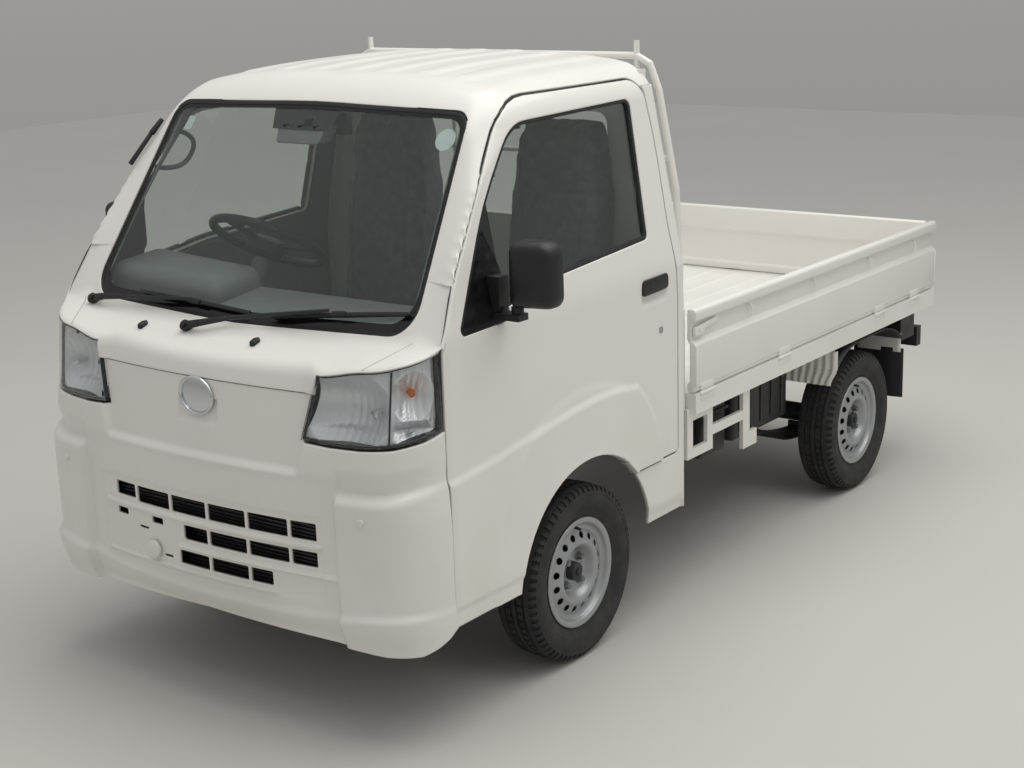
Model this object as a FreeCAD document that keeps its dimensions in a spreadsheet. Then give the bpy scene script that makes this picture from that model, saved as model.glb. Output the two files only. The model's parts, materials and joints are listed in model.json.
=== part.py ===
"""Kei truck: a cab-over mini truck with a drop-side load bed, in millimetres.

+X is the vehicle's left, -Y its front and +Z up. The origin is on the ground, midway
along the length. Each labelled sub-part is one solid file; the moving ones keep their
joint axes at the places given by the sheet's pivot sizes.
"""
import FreeCAD, Part
import math
import os
import re
import Sketcher
from FreeCAD import Rotation, Vector

os.makedirs("parts", exist_ok=True)
doc = FreeCAD.newDocument("KeiTruck")

SIZES = (
    ("body_half_width", 728), ("flare", 10), ("cab_rear", -262),
    ("cab_front", -1697.5), ("cab_bottom", 270), ("belt_height", 1100), ("roof_height", 1752),
    ("cowl_height", 1012), ("cowl_front", -1640), ("cowl_slope", 0.47),
    ("screen_foot", -1500), ("screen_foot_height", 1080), ("screen_rake", 0.658),
    ("side_lean", 0.2), ("front_corner", 172), ("pillar_corner", 22), ("nose_bow", 3160),
    ("screen_bow", 14000), ("skin", 34), ("panel_gap", 6),
    ("front_axle", -847), ("rear_axle", 1053), ("wheel_height", 268), ("wheel_track", 650),
    ("tyre_radius", 268), ("tyre_width", 145), ("steer_pivot", 548),
    ("bed_front", -222), ("bed_rear", 1690), ("bed_half_width", 737), ("floor_top", 671),
    ("floor_thick", 30), ("gate_foot", 677), ("gate_top", 945), ("gate_thick", 32),
    ("gate_pivot", 738), ("tailgate_pivot", 1696),
    ("rail_inner", 330), ("rail_width", 55), ("rail_low", 430), ("rail_height", 90),
    ("frame_front", -1500), ("frame_rear", 1640),
    ("door_front", -1478), ("door_rear", -318), ("door_sill", 510), ("door_leg", 320),
    ("arch_centre", -835), ("arch_radius", 355), ("seat_side", 340), ("seat_width", 440),
    ("mirror_pivot", 780), ("mirror_pivot_y", -1228),
    ("bearer_reach", 500), ("bearer_arm", 606), ("guard_front", 800), ("guard_rear", 1400),
)
sheet = doc.addObject("Spreadsheet::Sheet", "Dims")
for row, (alias, number) in enumerate(SIZES, 1):
    sheet.set(f"A{row}", alias)
    sheet.set(f"B{row}", str(number))
    sheet.setAlias(f"B{row}", alias)
doc.recompute()
ALIASES = {alias for alias, _ in SIZES}
finished = []


def formula(words):
    """An expression with each size's name written as a cell of the sheet."""
    def cell(match):
        name = match.group()
        return f"Dims.{name}" if name in ALIASES else name
    return re.sub(r"[a-z][a-z_]*", cell, str(words))


def size(words):
    """The number that an expression of sizes gives now."""
    return float(sheet.evalExpression(str(words)))


def bind(thing, prop, words):
    """Bind a property to an expression of sizes."""
    thing.setExpression(prop, formula(words))


def keep(thing, label):
    """Give a sub-part its label, which names its file."""
    thing.Label = label
    finished.append(thing)
    return thing


# ---- primitives and booleans bound to the sheet ----

def box(name, corner, extent):
    """A block with its lowest corner and its three sizes as expressions."""
    thing = doc.addObject("Part::Box", name)
    for prop, words in zip(("Length", "Width", "Height"), extent):
        bind(thing, prop, words)
    for axis, words in zip("xyz", corner):
        bind(thing, f"Placement.Base.{axis}", words)
    return thing


TURNS = {"x": Rotation(Vector(0, 1, 0), 90), "y": Rotation(Vector(1, 0, 0), -90), "z": Rotation()}


def rod(name, start, axis, radius, length):
    """A round bar from a start point along an axis."""
    thing = doc.addObject("Part::Cylinder", name)
    bind(thing, "Radius", radius)
    bind(thing, "Height", length)
    thing.Placement = FreeCAD.Placement(Vector(), TURNS[axis])
    for letter, words in zip("xyz", start):
        bind(thing, f"Placement.Base.{letter}", words)
    return thing


def fuse(name, pieces):
    """One solid from several that touch."""
    thing = doc.addObject("Part::MultiFuse", name)
    thing.Shapes = pieces
    thing.Refine = True
    return thing


def cut(name, base, tool):
    """A solid with another taken away."""
    thing = doc.addObject("Part::Cut", name)
    thing.Base = base
    thing.Tool = tool
    thing.Refine = True
    return thing


def plane_of(body, role):
    return next(part for part in body.Origin.OriginFeatures if part.Role == role)


def sketch(body, role, outline, offset=0):
    """A closed outline of lines on one of a body's own planes, each corner bound."""
    drawing = body.newObject("Sketcher::SketchObject", f"{body.Name}_outline")
    drawing.AttachmentSupport = (plane_of(body, role), [""])
    drawing.MapMode = "FlatFace"
    bind(drawing, "AttachmentOffset.Base.z", offset)
    corners = [Vector(size(a), size(b), 0) for a, b in outline]
    count = len(corners)
    for index in range(count):
        line = Part.LineSegment(corners[index], corners[(index + 1) % count])
        drawing.addGeometry(line, False)
    for index in range(count):
        drawing.addConstraint(Sketcher.Constraint("Coincident", index, 2, (index + 1) % count, 1))
    for index, pair in enumerate(outline):
        for kind, words, number in zip(("DistanceX", "DistanceY"), pair, corners[index]):
            place = drawing.addConstraint(Sketcher.Constraint(kind, -1, 1, index, 1, number))
            bind(drawing, f"Constraints[{place}]", words)
    return drawing


def pad(name, role, outline, offset, length):
    """A body padded from an outline; +X from YZ, -Y from XZ and +Z from XY."""
    body = doc.addObject("PartDesign::Body", name)
    drawing = sketch(body, role, outline, offset)
    feature = body.newObject("PartDesign::Pad", f"{name}_pad")
    feature.Profile = drawing
    bind(feature, "Length", length)
    return body


def turned(name, outline):
    """A body turned about the X axis from an outline of (x, radius) corners."""
    body = doc.addObject("PartDesign::Body", name)
    drawing = sketch(body, "XY_Plane", outline)
    feature = body.newObject("PartDesign::Revolution", f"{name}_turn")
    feature.Profile = drawing
    feature.ReferenceAxis = (plane_of(body, "X_Axis"), [""])
    feature.Angle = 360
    return body


def solid(label, shape):
    """A sub-part whose shape comes straight from Part's own functions."""
    thing = doc.addObject("Part::Feature", label)
    thing.Shape = shape.removeSplitter()
    return keep(thing, label)


# ---- outlines with round corners, for the pressed panels ----

def rounded_wire(corners, place):
    """A closed wire through corners (a, b, radius), each rounded by a tangent arc."""
    marks = []
    count = len(corners)
    for index, (a, b, radius) in enumerate(corners):
        here = Vector(a, b, 0)
        back = (Vector(*corners[index - 1][:2], 0) - here).normalize()
        ahead = (Vector(*corners[(index + 1) % count][:2], 0) - here).normalize()
        if radius == 0:
            marks.append((here, here, here))
            continue
        half = back.getAngle(ahead) / 2
        reach = radius / math.tan(half)
        inward = (back + ahead).normalize()
        middle = here + inward * (radius / math.sin(half) - radius)
        marks.append((here + back * reach, middle, here + ahead * reach))
    edges = []
    for index, (start, middle, end) in enumerate(marks):
        following = marks[(index + 1) % count][0]
        if start != end:
            edges.append(Part.Arc(place(start), place(middle), place(end)).toShape())
        if (following - end).Length > 1e-3:
            edges.append(Part.makeLine(place(end), place(following)))
    return Part.Wire(edges)


def side_prism(corners, low, high):
    """A prism across the truck from an outline of (y, z, radius) corners."""
    face = Part.Face(rounded_wire(corners, lambda p: Vector(low, p.x, p.y)))
    return face.extrude(Vector(high - low, 0, 0))


def front_prism(corners, low, high):
    """A prism along the truck from an outline of (x, z, radius) corners."""
    face = Part.Face(rounded_wire(corners, lambda p: Vector(p.x, low, p.y)))
    return face.extrude(Vector(0, high - low, 0))


def plan_prism(corners, low, high):
    """An upright prism from an outline of (x, y, radius) corners."""
    face = Part.Face(rounded_wire(corners, lambda p: Vector(p.x, p.y, low)))
    return face.extrude(Vector(0, 0, high - low))


def block(low, high):
    return Part.makeBox(*(high[i] - low[i] for i in range(3)), Vector(*low))


def mirrored(shape):
    """The same shape on the truck's other side."""
    return shape.mirror(Vector(), Vector(1, 0, 0))


def joined(shapes):
    return shapes[0].multiFuse(shapes[1:]).removeSplitter()


# ---- the cab's outer form ----

def cab_section(height, half_width, front, corner, bow):
    """Plan of the cab at a height: bowed front, round front corners, square rear."""
    rear = size("cab_rear")
    corner_x = half_width - corner
    corner_y = front + bow - math.sqrt((bow - corner) ** 2 - corner_x ** 2)
    tilt = math.asin(corner_x / (bow - corner))
    meet = Vector(corner_x + corner * math.sin(tilt), corner_y - corner * math.cos(tilt), height)
    turn = (math.pi / 2 + tilt) / 2
    middle = Vector(corner_x + corner * math.sin(turn), corner_y - corner * math.cos(turn), height)
    edge = Vector(half_width, corner_y, height)
    back = Vector(half_width, rear, height)
    other = lambda p: Vector(-p.x, p.y, p.z)
    return Part.Wire([
        Part.makeLine(other(back), other(edge)),
        Part.Arc(other(edge), other(middle), other(meet)).toShape(),
        Part.Arc(other(meet), Vector(0, front, height), meet).toShape(),
        Part.Arc(meet, middle, edge).toShape(),
        Part.makeLine(edge, back),
        Part.makeLine(back, other(back)),
    ])


def cab_block(inset, wide=0, floor=None):
    """The cab as one solid, drawn in by an inset on every outer face."""
    half = size("body_half_width") - inset
    front = size("cab_front") + inset
    corner = size("front_corner") - inset
    bow = size("nose_bow")
    low = size("cab_bottom") if floor is None else floor
    nose = ((low, 38, wide), (350, 3, wide), (650, 0, wide), (735, 0, 0), (850, 12, 0),
            (1180, 52, 0))
    sections = [cab_section(height, half + out, front + back, corner, bow)
                for height, back, out in nose]
    lower = Part.makeLoft(sections, True, True)
    slope = size("cowl_slope")
    rise = size("cowl_height") - inset
    front_y = size("cowl_front")
    reach = 1400
    above = side_prism([
        (front_y - 300, rise - 300 * slope, 0),
        (front_y + reach, rise + reach * slope, 0),
        (front_y + reach, 2600, 0),
        (front_y - 300, 2600, 0),
    ], -900, 900)
    lower = lower.cut(above)
    belt = size("belt_height")
    keep_low = block((-900, -2000, low - 1), (900, 0, belt))
    keep_nose = block((-900, -2000, low - 1), (900, -1400, belt + 20))
    lower = lower.common(keep_low.fuse(keep_nose))
    rake = size("screen_rake")
    heads = []
    for height in (size("screen_foot_height") - 40, belt, 1900):
        lean = max(0, height - belt) * size("side_lean")
        screen = size("screen_foot") + inset * 1.2 + rake * (height - size("screen_foot_height"))
        heads.append(cab_section(height, half - lean, screen, max(4, size("pillar_corner") - inset * 0.5),
                                 size("screen_bow")))
    upper = Part.makeLoft(heads, True, True)
    top = size("roof_height") - inset * 0.6
    back = inset * 1.2
    rear = size("cab_rear")
    profile = side_prism([
        (-1800, 900, 0), (-1800, 1600, 0), (-1161 + back, 1600, 0),
        (-1092 + back, top - 48, 150), (-870, top - 8, 500), (-560, top + 2, 0),
        (rear + 50, top - 2, 0), (rear + 50, 900, 0),
    ], -900, 900)
    edge = half - (top - belt) * size("side_lean") + 1
    across = front_prism([
        (-900, 900, 0), (-900, 1500, 0), (-edge - 55, 1500, 0), (-edge, top - 4, 72),
        (-300, top + 2, 900), (300, top + 2, 900), (edge, top - 4, 72), (edge + 55, 1500, 0),
        (900, 1500, 0), (900, 900, 0),
    ], -1900, 100)
    upper = upper.common(profile).common(across)
    return lower.fuse(upper).removeSplitter()


# ---- cab panels ----

REAR = size("cab_rear")
SKIN = size("skin")
GAP = size("panel_gap")
outer = cab_block(0)
inner = cab_block(SKIN, floor=200).common(block((-900, -2000, 100), (900, REAR - SKIN, 2000)))
shell = outer.cut(inner)
flared = cab_block(0, wide=size("flare"))

door_front = size("door_front")
door_rear = size("door_rear")
arch = Part.makeCylinder(size("arch_radius"), 400, Vector(500, size("arch_centre"),
                         size("wheel_height")), Vector(1, 0, 0))


def door_region(grow):
    """The left door's region, grown by a gap on every edge."""
    face = Part.Face(rounded_wire([
        (door_front, size("door_leg"), 8), (door_front, 1085, 30), (-1420, 1140, 60),
        (-1388, 1200, 500), (-1176, 1510, 1000),
        (-1024, 1671, 300), (-338, 1669, 60), (-322, 1480, 900), (door_rear - 14, 1230, 0),
        (door_rear, 1000, 0),
        (door_rear, size("door_sill"), 15), (-700, size("door_sill"), 0),
        (-900, size("door_leg"), 0),
    ], lambda p: Vector(520, p.x, p.y)))
    if grow:
        face = face.makeOffset2D(grow)
    return face.extrude(Vector(400, 0, 0))


# A door takes only the side's own skin, up its lean, so the pillar's front face stays whole.
lean = size("side_lean")
side_in = size("body_half_width") - SKIN - 4
belt = size("belt_height")


def side_zone(inside):
    """The space outside a plane that follows the cab's side from an inner distance."""
    return front_prism([
        (inside, 150, 0), (inside, belt, 0), (inside - 660 * lean, belt + 660, 0),
        (900, belt + 660, 0), (900, 150, 0),
    ], -1700, -200)


door_prism = door_region(0).cut(arch).common(side_zone(side_in))
door_hole = door_region(GAP).common(side_zone(side_in - GAP))
glass_prism = side_prism([
    (-1414, 1096, 18), (-1215, 1410, 900), (-1028, 1606, 170), (-417, 1619, 26), (-453, 1206, 20),
    (-927, 1177, 600), (-1180, 1138, 0), (-1192, 1102, 8),
], 520, 920)


def flare_wire(place_x, draw):
    """Outline of the arch flare's raised band, drawn in along its crease."""
    return rounded_wire([
        (-1500, 722 - draw, 0), (-1120, 768 - draw, 900), (-760, 806 - draw, 500),
        (-545 - draw, 790 - draw, 60), (-430 - draw, 585, 200), (-395 - draw, 500, 0),
        (-395 - draw, 250, 0), (-1500, 250, 0),
    ], lambda p: Vector(place_x, p.x, p.y))


body_side = size("body_half_width")
flare_pad = Part.makeLoft([flare_wire(body_side - 2, 0),
                           flare_wire(body_side + size("flare"), 20)], True, True).cut(arch)

# Front openings: windscreen, lamps, hood and fascia.
screen_prism = front_prism([
    (-622, 1099, 75), (0, 1080, 3000), (622, 1099, 75), (560, 1642, 55), (0, 1656, 4000),
    (-560, 1642, 55),
], -1700, -1000)
lamp_front = front_prism([
    (375, 836, 12), (560, 823, 200), (700, 838, 120), (900, 888, 0), (900, 1200, 0), (428, 1200, 0),
], -1800, door_front - GAP)
lamp_roof = side_prism([
    (-1900, 1000 - 260 * 0.47, 0), (-1400, 1000 + 240 * 0.47, 0), (-1400, 700, 0), (-1900, 700, 0),
], 0, 900)
lamp_region = lamp_front.common(lamp_roof)
lamp_regions = lamp_region.fuse(mirrored(lamp_region))
seam = 957
nose = block((-900, -1900, 100), (900, door_front - GAP, seam))
cowl = block((-900, -1900, seam + 3), (900, -1380, 1190))
roof_region = side_prism([
    (-1300, 1646, 0), (-1110, 1646, 0), (-1030, 1692, 0), (-200, 1692, 0), (-200, 1900, 0),
    (-1300, 1900, 0),
], -900, 900)
rear_region = block((-585, REAR - SKIN, 640), (585, -200, 1692))
rear_gap = block((-640, REAR - SKIN, 200), (640, -200, 640))
openings = door_hole.multiFuse([mirrored(door_hole), screen_prism, arch, mirrored(arch)])
bare = shell.cut(openings)

solid("cab_roof", bare.common(roof_region))
rear_window_prism = front_prism([(-480, 1215, 40), (480, 1215, 40), (460, 1560, 40),
                                 (-460, 1560, 40)], REAR - 80, REAR + 50)
solid("cab_rear_wall", bare.common(rear_region).cut(rear_window_prism))
solid("rear_window", rear_window_prism.common(block((-900, REAR - 16, 900), (900, REAR - 10, 1700))))
rest = bare.cut(roof_region).cut(rear_region).cut(rear_gap)
fascia = flared.cut(inner).common(nose)
front_panel = rest.common(cowl).cut(lamp_regions)
solid("front_panel", front_panel)
side = rest.cut(block((-900, -2000, 100), (0, 0, 2000))).cut(cowl)
side = side.cut(block((-900, -800, 100), (900, 0, 316)))
side = side.cut(block((-900, -2000, 100), (900, door_front - GAP, 1190)))
side = side.fuse(flare_pad.cut(door_hole).cut(block((0, -2000, 100), (900, door_front, 1190))))
left_side = max(side.Solids, key=lambda piece: piece.Volume)
solid("left_cab_side", left_side)
solid("right_cab_side", mirrored(left_side))

# Grille openings: each row's low and high edge and its two ends, cut up by upright bars.
GRILLE_ROWS = ((559, 613, -356, 418), (485, 531, -66, 417), (408, 453, -90, 262))
GRILLE_BARS = (-264, -116, 32, 180, 328)
BAR_HALF = 6
slots = []
for low, high, left, right in GRILLE_ROWS:
    bars = [bar for bar in GRILLE_BARS if left < bar < right]
    starts = [left] + [bar + BAR_HALF for bar in bars]
    ends = [bar - BAR_HALF for bar in bars] + [right]
    for start, end in zip(starts, ends):
        slots.append(block((start, -1800, low), (end, -1600, high)))
fascia = fascia.cut(lamp_regions)
fascia = fascia.cut(slots[0].multiFuse(slots[1:]))
fascia = fascia.removeSplitter()
solid("front_bumper", max(fascia.Solids, key=lambda piece: piece.Volume))

lamp_core = outer.cut(cab_block(90, floor=200))
lamp = max(lamp_core.common(lamp_region).Solids, key=lambda piece: piece.Volume)
solid("left_headlamp", lamp)
solid("right_headlamp", mirrored(lamp))
glass_layer = cab_block(2).cut(cab_block(8, floor=200))
solid("windscreen", max(glass_layer.common(screen_prism).Solids, key=lambda piece: piece.Volume))

# Doors with their glass.
door_skin = shell.common(door_prism).fuse(flare_pad.common(door_prism)).cut(glass_prism)
door = max(door_skin.Solids, key=lambda piece: piece.Volume)
handle = side_prism([(-519, 1046, 12), (-380, 1052, 12), (-380, 1092, 12), (-519, 1088, 12)],
                    727, 738)
door = door.fuse(handle)
sail = side_prism([(-1440, 1070, 0), (-1194, 1070, 0), (-1194, 1440, 0), (-1440, 1078, 0)], 600, 900)
pane_layer = cab_block(10).cut(cab_block(15, floor=200))
pane = pane_layer.common(glass_prism)
pane = max(pane.cut(sail).Solids, key=lambda piece: piece.Volume)
sail_plate = cab_block(4).cut(cab_block(15, floor=200)).common(glass_prism).common(sail)
sail_plate = max(sail_plate.Solids, key=lambda piece: piece.Volume)

pivot = Vector(size("mirror_pivot"), size("mirror_pivot_y"), 0)
mirror_base = joined([sail_plate, block((700, -1250, 1150), (738, -1206, 1230)),
                      block((700, -1250, 1116), (800, -1206, 1134))])
mirror_base = max(mirror_base.Solids, key=lambda piece: piece.Volume)
mirror_head = Part.Face(rounded_wire([(766, 1146, 22), (914, 1152, 26), (911, 1334, 30),
                                      (770, 1330, 28)], lambda p: Vector(p.x, -1262, p.y)))
mirror_head = mirror_head.extrude(Vector(0, 66, 0))

for side_name, flip in (("left", lambda shape: shape), ("right", mirrored)):
    solid(f"{side_name}_door", flip(door))
    solid(f"{side_name}_door_glass", flip(pane))
    solid(f"{side_name}_mirror_base", flip(mirror_base))
FOLDED = 75
folded_head = mirror_head.copy()
folded_head.rotate(pivot, Vector(0, 0, 1), FOLDED)
solid("left_mirror", mirror_head)
solid("right_mirror", mirrored(folded_head))


# ---- cab floor and furniture ----

floor_parts = [
    block((-685, -1440, 521), (685, -1200, 541)),
    block((-685, -1210, 521), (685, -1200, 640)),
    block((-685, -1210, 620), (685, -300, 640)),
]
solid("cab_floor", joined(floor_parts))
solid("seat_base", block((-600, -960, 640), (600, -310, 770)))
seat_low = [(-905, 775, 30), (-915, 895, 40), (-440, 870, 30), (-440, 775, 20)]
seat_back = [(-430, 800, 30), (-475, 900, 40), (-405, 1560, 35), (-318, 1560, 30), (-318, 800, 20)]
for seat_name, centre in (("driver_seat", -size("seat_side")), ("passenger_seat", size("seat_side"))):
    half = size("seat_width") / 2
    cushion = side_prism(seat_low, centre - half, centre + half)
    rest_back = side_prism(seat_back, centre - half + 20, centre + half - 20)
    solid(seat_name, cushion.fuse(rest_back))

wheel_tilt = 32
column = Vector(-340, -995, 1200)
axis = Vector(0, math.sin(math.radians(wheel_tilt)), math.cos(math.radians(wheel_tilt)))
rim_ring = Part.makeTorus(178, 14)
hub_disc = Part.makeCylinder(62, 40, Vector(0, 0, -45))
arms = []
for turn in (0, 180, 270):
    arm = Part.makeBox(150, 26, 10, Vector(25, -13, -16))
    arm.rotate(Vector(), Vector(0, 0, 1), turn)
    arms.append(arm)
steering = joined([rim_ring, hub_disc] + arms)
steering.Placement = FreeCAD.Placement(column, Rotation(Vector(0, 0, 1), axis))
solid("steering_wheel", steering)
post = Part.makeCylinder(26, 330, Vector(0, 0, -390))
post.Placement = FreeCAD.Placement(column, Rotation(Vector(0, 0, 1), axis))
solid("steering_column", post)
dash = side_prism([(-1425, 700, 20), (-1425, 1078, 15), (-1180, 1108, 40), (-1110, 1040, 30),
                   (-1150, 860, 30), (-1230, 700, 20)], -672, 672)
solid("dashboard", dash.cut(post))
stem = block((-12, -1190, 1590), (12, -1100, 1606)).common(cab_block(8, floor=200))
solid("inside_mirror", block((-110, -1105, 1560), (110, -1085, 1620)).fuse(stem))


# ---- chassis ----

rails = []
for name, low in (("left_rail", "rail_inner"), ("right_rail", "0 - rail_inner - rail_width")):
    rails.append(box(name, (low, "frame_front", "rail_low"),
                     ("rail_width", "frame_rear - frame_front", "rail_height")))
for index, place in enumerate((-1480, -1190, -340, 60, 300, 760, 1330, 1590)):
    rails.append(box(f"cross_{index}", ("0 - rail_inner - 1", place, "rail_low + 15"),
                     ("2 * rail_inner + 2", 50, "rail_height - 30")))
keep(fuse("frame", rails), "frame_rails")

bed_floor = keep(box("bed_floor_panel", ("0 - bed_half_width", "bed_front", "floor_top - floor_thick"),
                     ("2 * bed_half_width", "bed_rear - bed_front", "floor_thick")), "bed_floor")
sills = []
for name, low in (("left_sill", "bed_half_width - 35"), ("right_sill", "0 - bed_half_width")):
    sills.append(box(name, (low, "bed_front", "floor_top - floor_thick - 36"),
                     (35, "bed_rear - bed_front", 36)))
for index, place in enumerate((-222, 160, 480, 780, 1345, 1655)):
    sills.append(box(f"bearer_{index}", ("0 - bearer_reach", place, "rail_low + rail_height"),
                     ("2 * bearer_reach", 35, "floor_top - floor_thick - rail_low - rail_height")))
    sills.append(box(f"bearer_arm_{index}", ("0 - bed_half_width", place, "bearer_arm"),
                     ("2 * bed_half_width", 35, "floor_top - floor_thick - bearer_arm")))
# Hanging brackets under each sill: a framed plate behind the cab, a link and a lower hanger.
PLATE = 14
for name, low in (("left", "bed_half_width - 35"), ("right", "0 - bed_half_width + 21")):
    for index, (first, last, foot, top) in enumerate((
            (-240, -205, 453, 620), (-112, -77, 453, 620), (-240, -77, 453, 484),
            (-240, -77, 578, 620), (-80, 160, 500, 532), (129, 175, 395, 620),
            (129, 225, 395, 448))):
        sills.append(box(f"{name}_bracket_{index}", (low, first, foot),
                         (PLATE, last - first, top - foot)))
keep(fuse("bed_bearers", sills), "bed_frame")

def tube(points, radius):
    """Round tube along straight runs, with a ball at each bend."""
    pieces = []
    for start, end in zip(points, points[1:]):
        run = Vector(*end) - Vector(*start)
        pieces.append(Part.makeCylinder(radius, run.Length, Vector(*start), run))
    for point in points[1:-1]:
        pieces.append(Part.makeSphere(radius, Vector(*point)))
    return joined(pieces)


bed_front = size("bed_front")
guard_y = bed_front - 14
GUARD = 11
plate = block((-700, bed_front - 18, size("floor_top") - 66), (700, bed_front - 4, size("gate_top")))
hoop_side = [(690, 949), (676, 1324), (617, 1627), (585, 1706), (538, 1730)]
hoop = [(-x, guard_y, z) for x, z in hoop_side] + [(x, guard_y, z) for x, z in hoop_side[::-1]]
solid("headboard", plate)
guard = [tube(hoop, GUARD)]
for height, reach in ((1180, 681), (1420, 656)):
    guard.append(tube([(-reach, guard_y, height), (reach, guard_y, height)], GUARD - 2))
for place in (-538, -180, 180, 538):
    top = 1776 if abs(place) > 500 else 1730
    guard.append(tube([(place, guard_y, 945), (place, guard_y, top)], GUARD - 2))
solid("guard_frame", joined(guard))


LONG_GATE = [("gate_pivot - gate_thick - 1", "gate_foot"), ("gate_pivot - 1", "gate_foot"),
             ("gate_pivot - 1", "gate_foot + 153"), ("gate_pivot - 14", "gate_foot + 165"),
             ("gate_pivot - 14", "gate_top - 38"), ("gate_pivot - 1", "gate_top - 36"),
             ("gate_pivot - 1", "gate_top"), ("gate_pivot - gate_thick - 1", "gate_top")]
left_gate = pad("left_gate_panel", "XZ_Plane", LONG_GATE, "0 - bed_rear", "bed_rear - bed_front")
keep(left_gate, "left_gate")
RIGHT = [(f"0 - ({a})", b) for a, b in LONG_GATE]
keep(pad("right_gate_panel", "XZ_Plane", RIGHT, "0 - bed_rear", "bed_rear - bed_front"), "right_gate")
TAIL = [("tailgate_pivot - gate_thick - 6", "gate_foot"), ("tailgate_pivot - 6", "gate_foot"),
        ("tailgate_pivot - 6", "gate_foot + 153"), ("tailgate_pivot - 19", "gate_foot + 165"),
        ("tailgate_pivot - 19", "gate_top - 38"), ("tailgate_pivot - 6", "gate_top - 36"),
        ("tailgate_pivot - 6", "gate_top"), ("tailgate_pivot - gate_thick - 6", "gate_top")]
keep(pad("tailgate_panel", "YZ_Plane", TAIL, "0 - (bed_half_width - gate_thick - 7)",
         "2 * (bed_half_width - gate_thick - 7)"), "tailgate")

# Engine, driveline and what hangs below the bed.
keep(box("engine_block", (-190, -1000, 300), (380, 620, 270)), "engine")
keep(rod("shaft", (0, -380, 395), "y", 30, 1330), "propeller_shaft")
keep(box("tank", (-640, 100, 320), (250, 500, 195)), "fuel_tank")
exhaust = [rod("silencer", (210, 380, 365), "y", 70, 340), rod("pipe", (210, -370, 365), "y", 22, 760),
           rod("tail", (210, 710, 365), "y", 20, 840)]
keep(fuse("exhaust_line", exhaust), "exhaust")
axle = [rod("tube", ("0 - wheel_track + 75", "rear_axle", "wheel_height"), "x", 36,
            "2 * wheel_track - 150")]
axle.append(rod("casing", (-110, "rear_axle", "wheel_height"), "x", 105, 220))
for name, start in (("left_drum", "wheel_track - 78"), ("right_drum", "0 - wheel_track + 18")):
    axle.append(rod(name, (start, "rear_axle", "wheel_height"), "x", 112, 60))
for name, start in (("left_stub", "wheel_track - 30"), ("right_stub", "0 - wheel_track - 8")):
    axle.append(rod(name, (start, "rear_axle", "wheel_height"), "x", 21, 38))
for name, place in (("left", 530), ("right", -530)):
    axle.append(box(f"{name}_eye", (f"{place} - 15", "rear_axle", 300), (30, 150, 20)))
    axle.append(rod(f"{name}_damper", (place, "rear_axle + 150", 300), "z", 22, 215))
keep(fuse("axle", axle), "rear_axle")
for side_name, low in (("left", 445), ("right", -505)):
    spring = [box(f"{side_name}_leaf_{index}", (low, f"rear_axle - {550 - index * 110}",
                  f"wheel_height - {48 + index * 9}"), (60, 1100 - index * 220, 9)) for index in range(4)]
    keep(fuse(f"{side_name}_leaves", spring), f"{side_name}_leaf_spring")
solid("front_suspension", joined([
    block((-500, -880, 190), (500, -815, 215)),
    block((-562, -860, 190), (562, -834, 215)),
    block((-385, -880, 190), (-345, -815, 429)),
    block((345, -880, 190), (385, -815, 429)),
]))

for side_name, direction in (("left", 1), ("right", -1)):
    pivot_x = size("steer_pivot")
    track = size("wheel_track")
    y = size("front_axle")
    z = size("wheel_height")
    knuckle = joined([
        Part.makeCylinder(21, 370, Vector(pivot_x, y, 230)),
        Part.makeBox(60, 60, 56, Vector(pivot_x - 26, y - 30, z - 28)),
        Part.makeCylinder(110, 55, Vector(track - 74, y, z), Vector(1, 0, 0)),
        Part.makeCylinder(21, 40, Vector(track - 30, y, z), Vector(1, 0, 0)),
    ])
    solid(f"{side_name}_knuckle", knuckle if direction > 0 else mirrored(knuckle))

keep(box("bumper_bar", (-690, "frame_rear", 435), (1380, 40, 80)), "rear_bumper")
for side_name, low in (("left", 470), ("right", -660)):
    keep(box(f"{side_name}_lamp", (low, "frame_rear + 40", 440), (190, 14, 70)),
         f"{side_name}_rear_lamp")
for side_name, low in (("left", 520), ("right", -735)):
    flap = [box(f"{side_name}_flap_front", (low, "guard_front", 461), (215, 8, 139)),
            box(f"{side_name}_flap_rear", (low, "guard_rear", 279), (215, 8, 321)),
            box(f"{side_name}_flap_top", (low, "guard_front", 590),
                (215, "guard_rear - guard_front + 8", 10))]
    keep(fuse(f"{side_name}_guard", flap), f"{side_name}_mudguard")
keep(box("battery_box", (540, 1430, 500), (170, 130, 95)), "side_box")

# ---- wheels ----

RIM = [(58, 149), (58, 168), (52, 168), (50, 154), (32, 151), (22, 139), (-24, 139), (-38, 151),
       (-52, 154), (-54, 168), (-60, 168), (-60, 148), (-42, 145), (-28, 133), (18, 133),
       (26, 129), (35, 120), (33, 104), (25, 92), (0, 76), (-2, 27), (2, 27), (4, 74), (30, 88),
       (38, 100), (40, 122), (30, 135), (34, 146)]
TYRE = [(-49, 155.5), (49, 155.5), (50.5, 170), ("tyre_width / 2 - 6", 185),
        ("tyre_width / 2", 212), ("tyre_width / 2 - 2.5", 240), ("tyre_width / 2 - 10", "tyre_radius - 8"),
        (45, "tyre_radius - 1.5"), (0, "tyre_radius"), (-45, "tyre_radius - 1.5"),
        ("10 - tyre_width / 2", "tyre_radius - 8"), ("2.5 - tyre_width / 2", 240),
        ("0 - tyre_width / 2", 212), ("6 - tyre_width / 2", 185), (-50.5, 170)]
rim_turned = turned("rim_turned", RIM)
tyre_turned = turned("tyre_turned", TYRE)
doc.recompute()
VENTS = 18
vents = [Part.makeCylinder(10, 60, Vector(0, 0, 120), Vector(1, 0, 0)) for _ in range(VENTS)]
for index, vent in enumerate(vents):
    vent.rotate(Vector(), Vector(1, 0, 0), 360 * index / VENTS)
nuts = []
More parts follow.
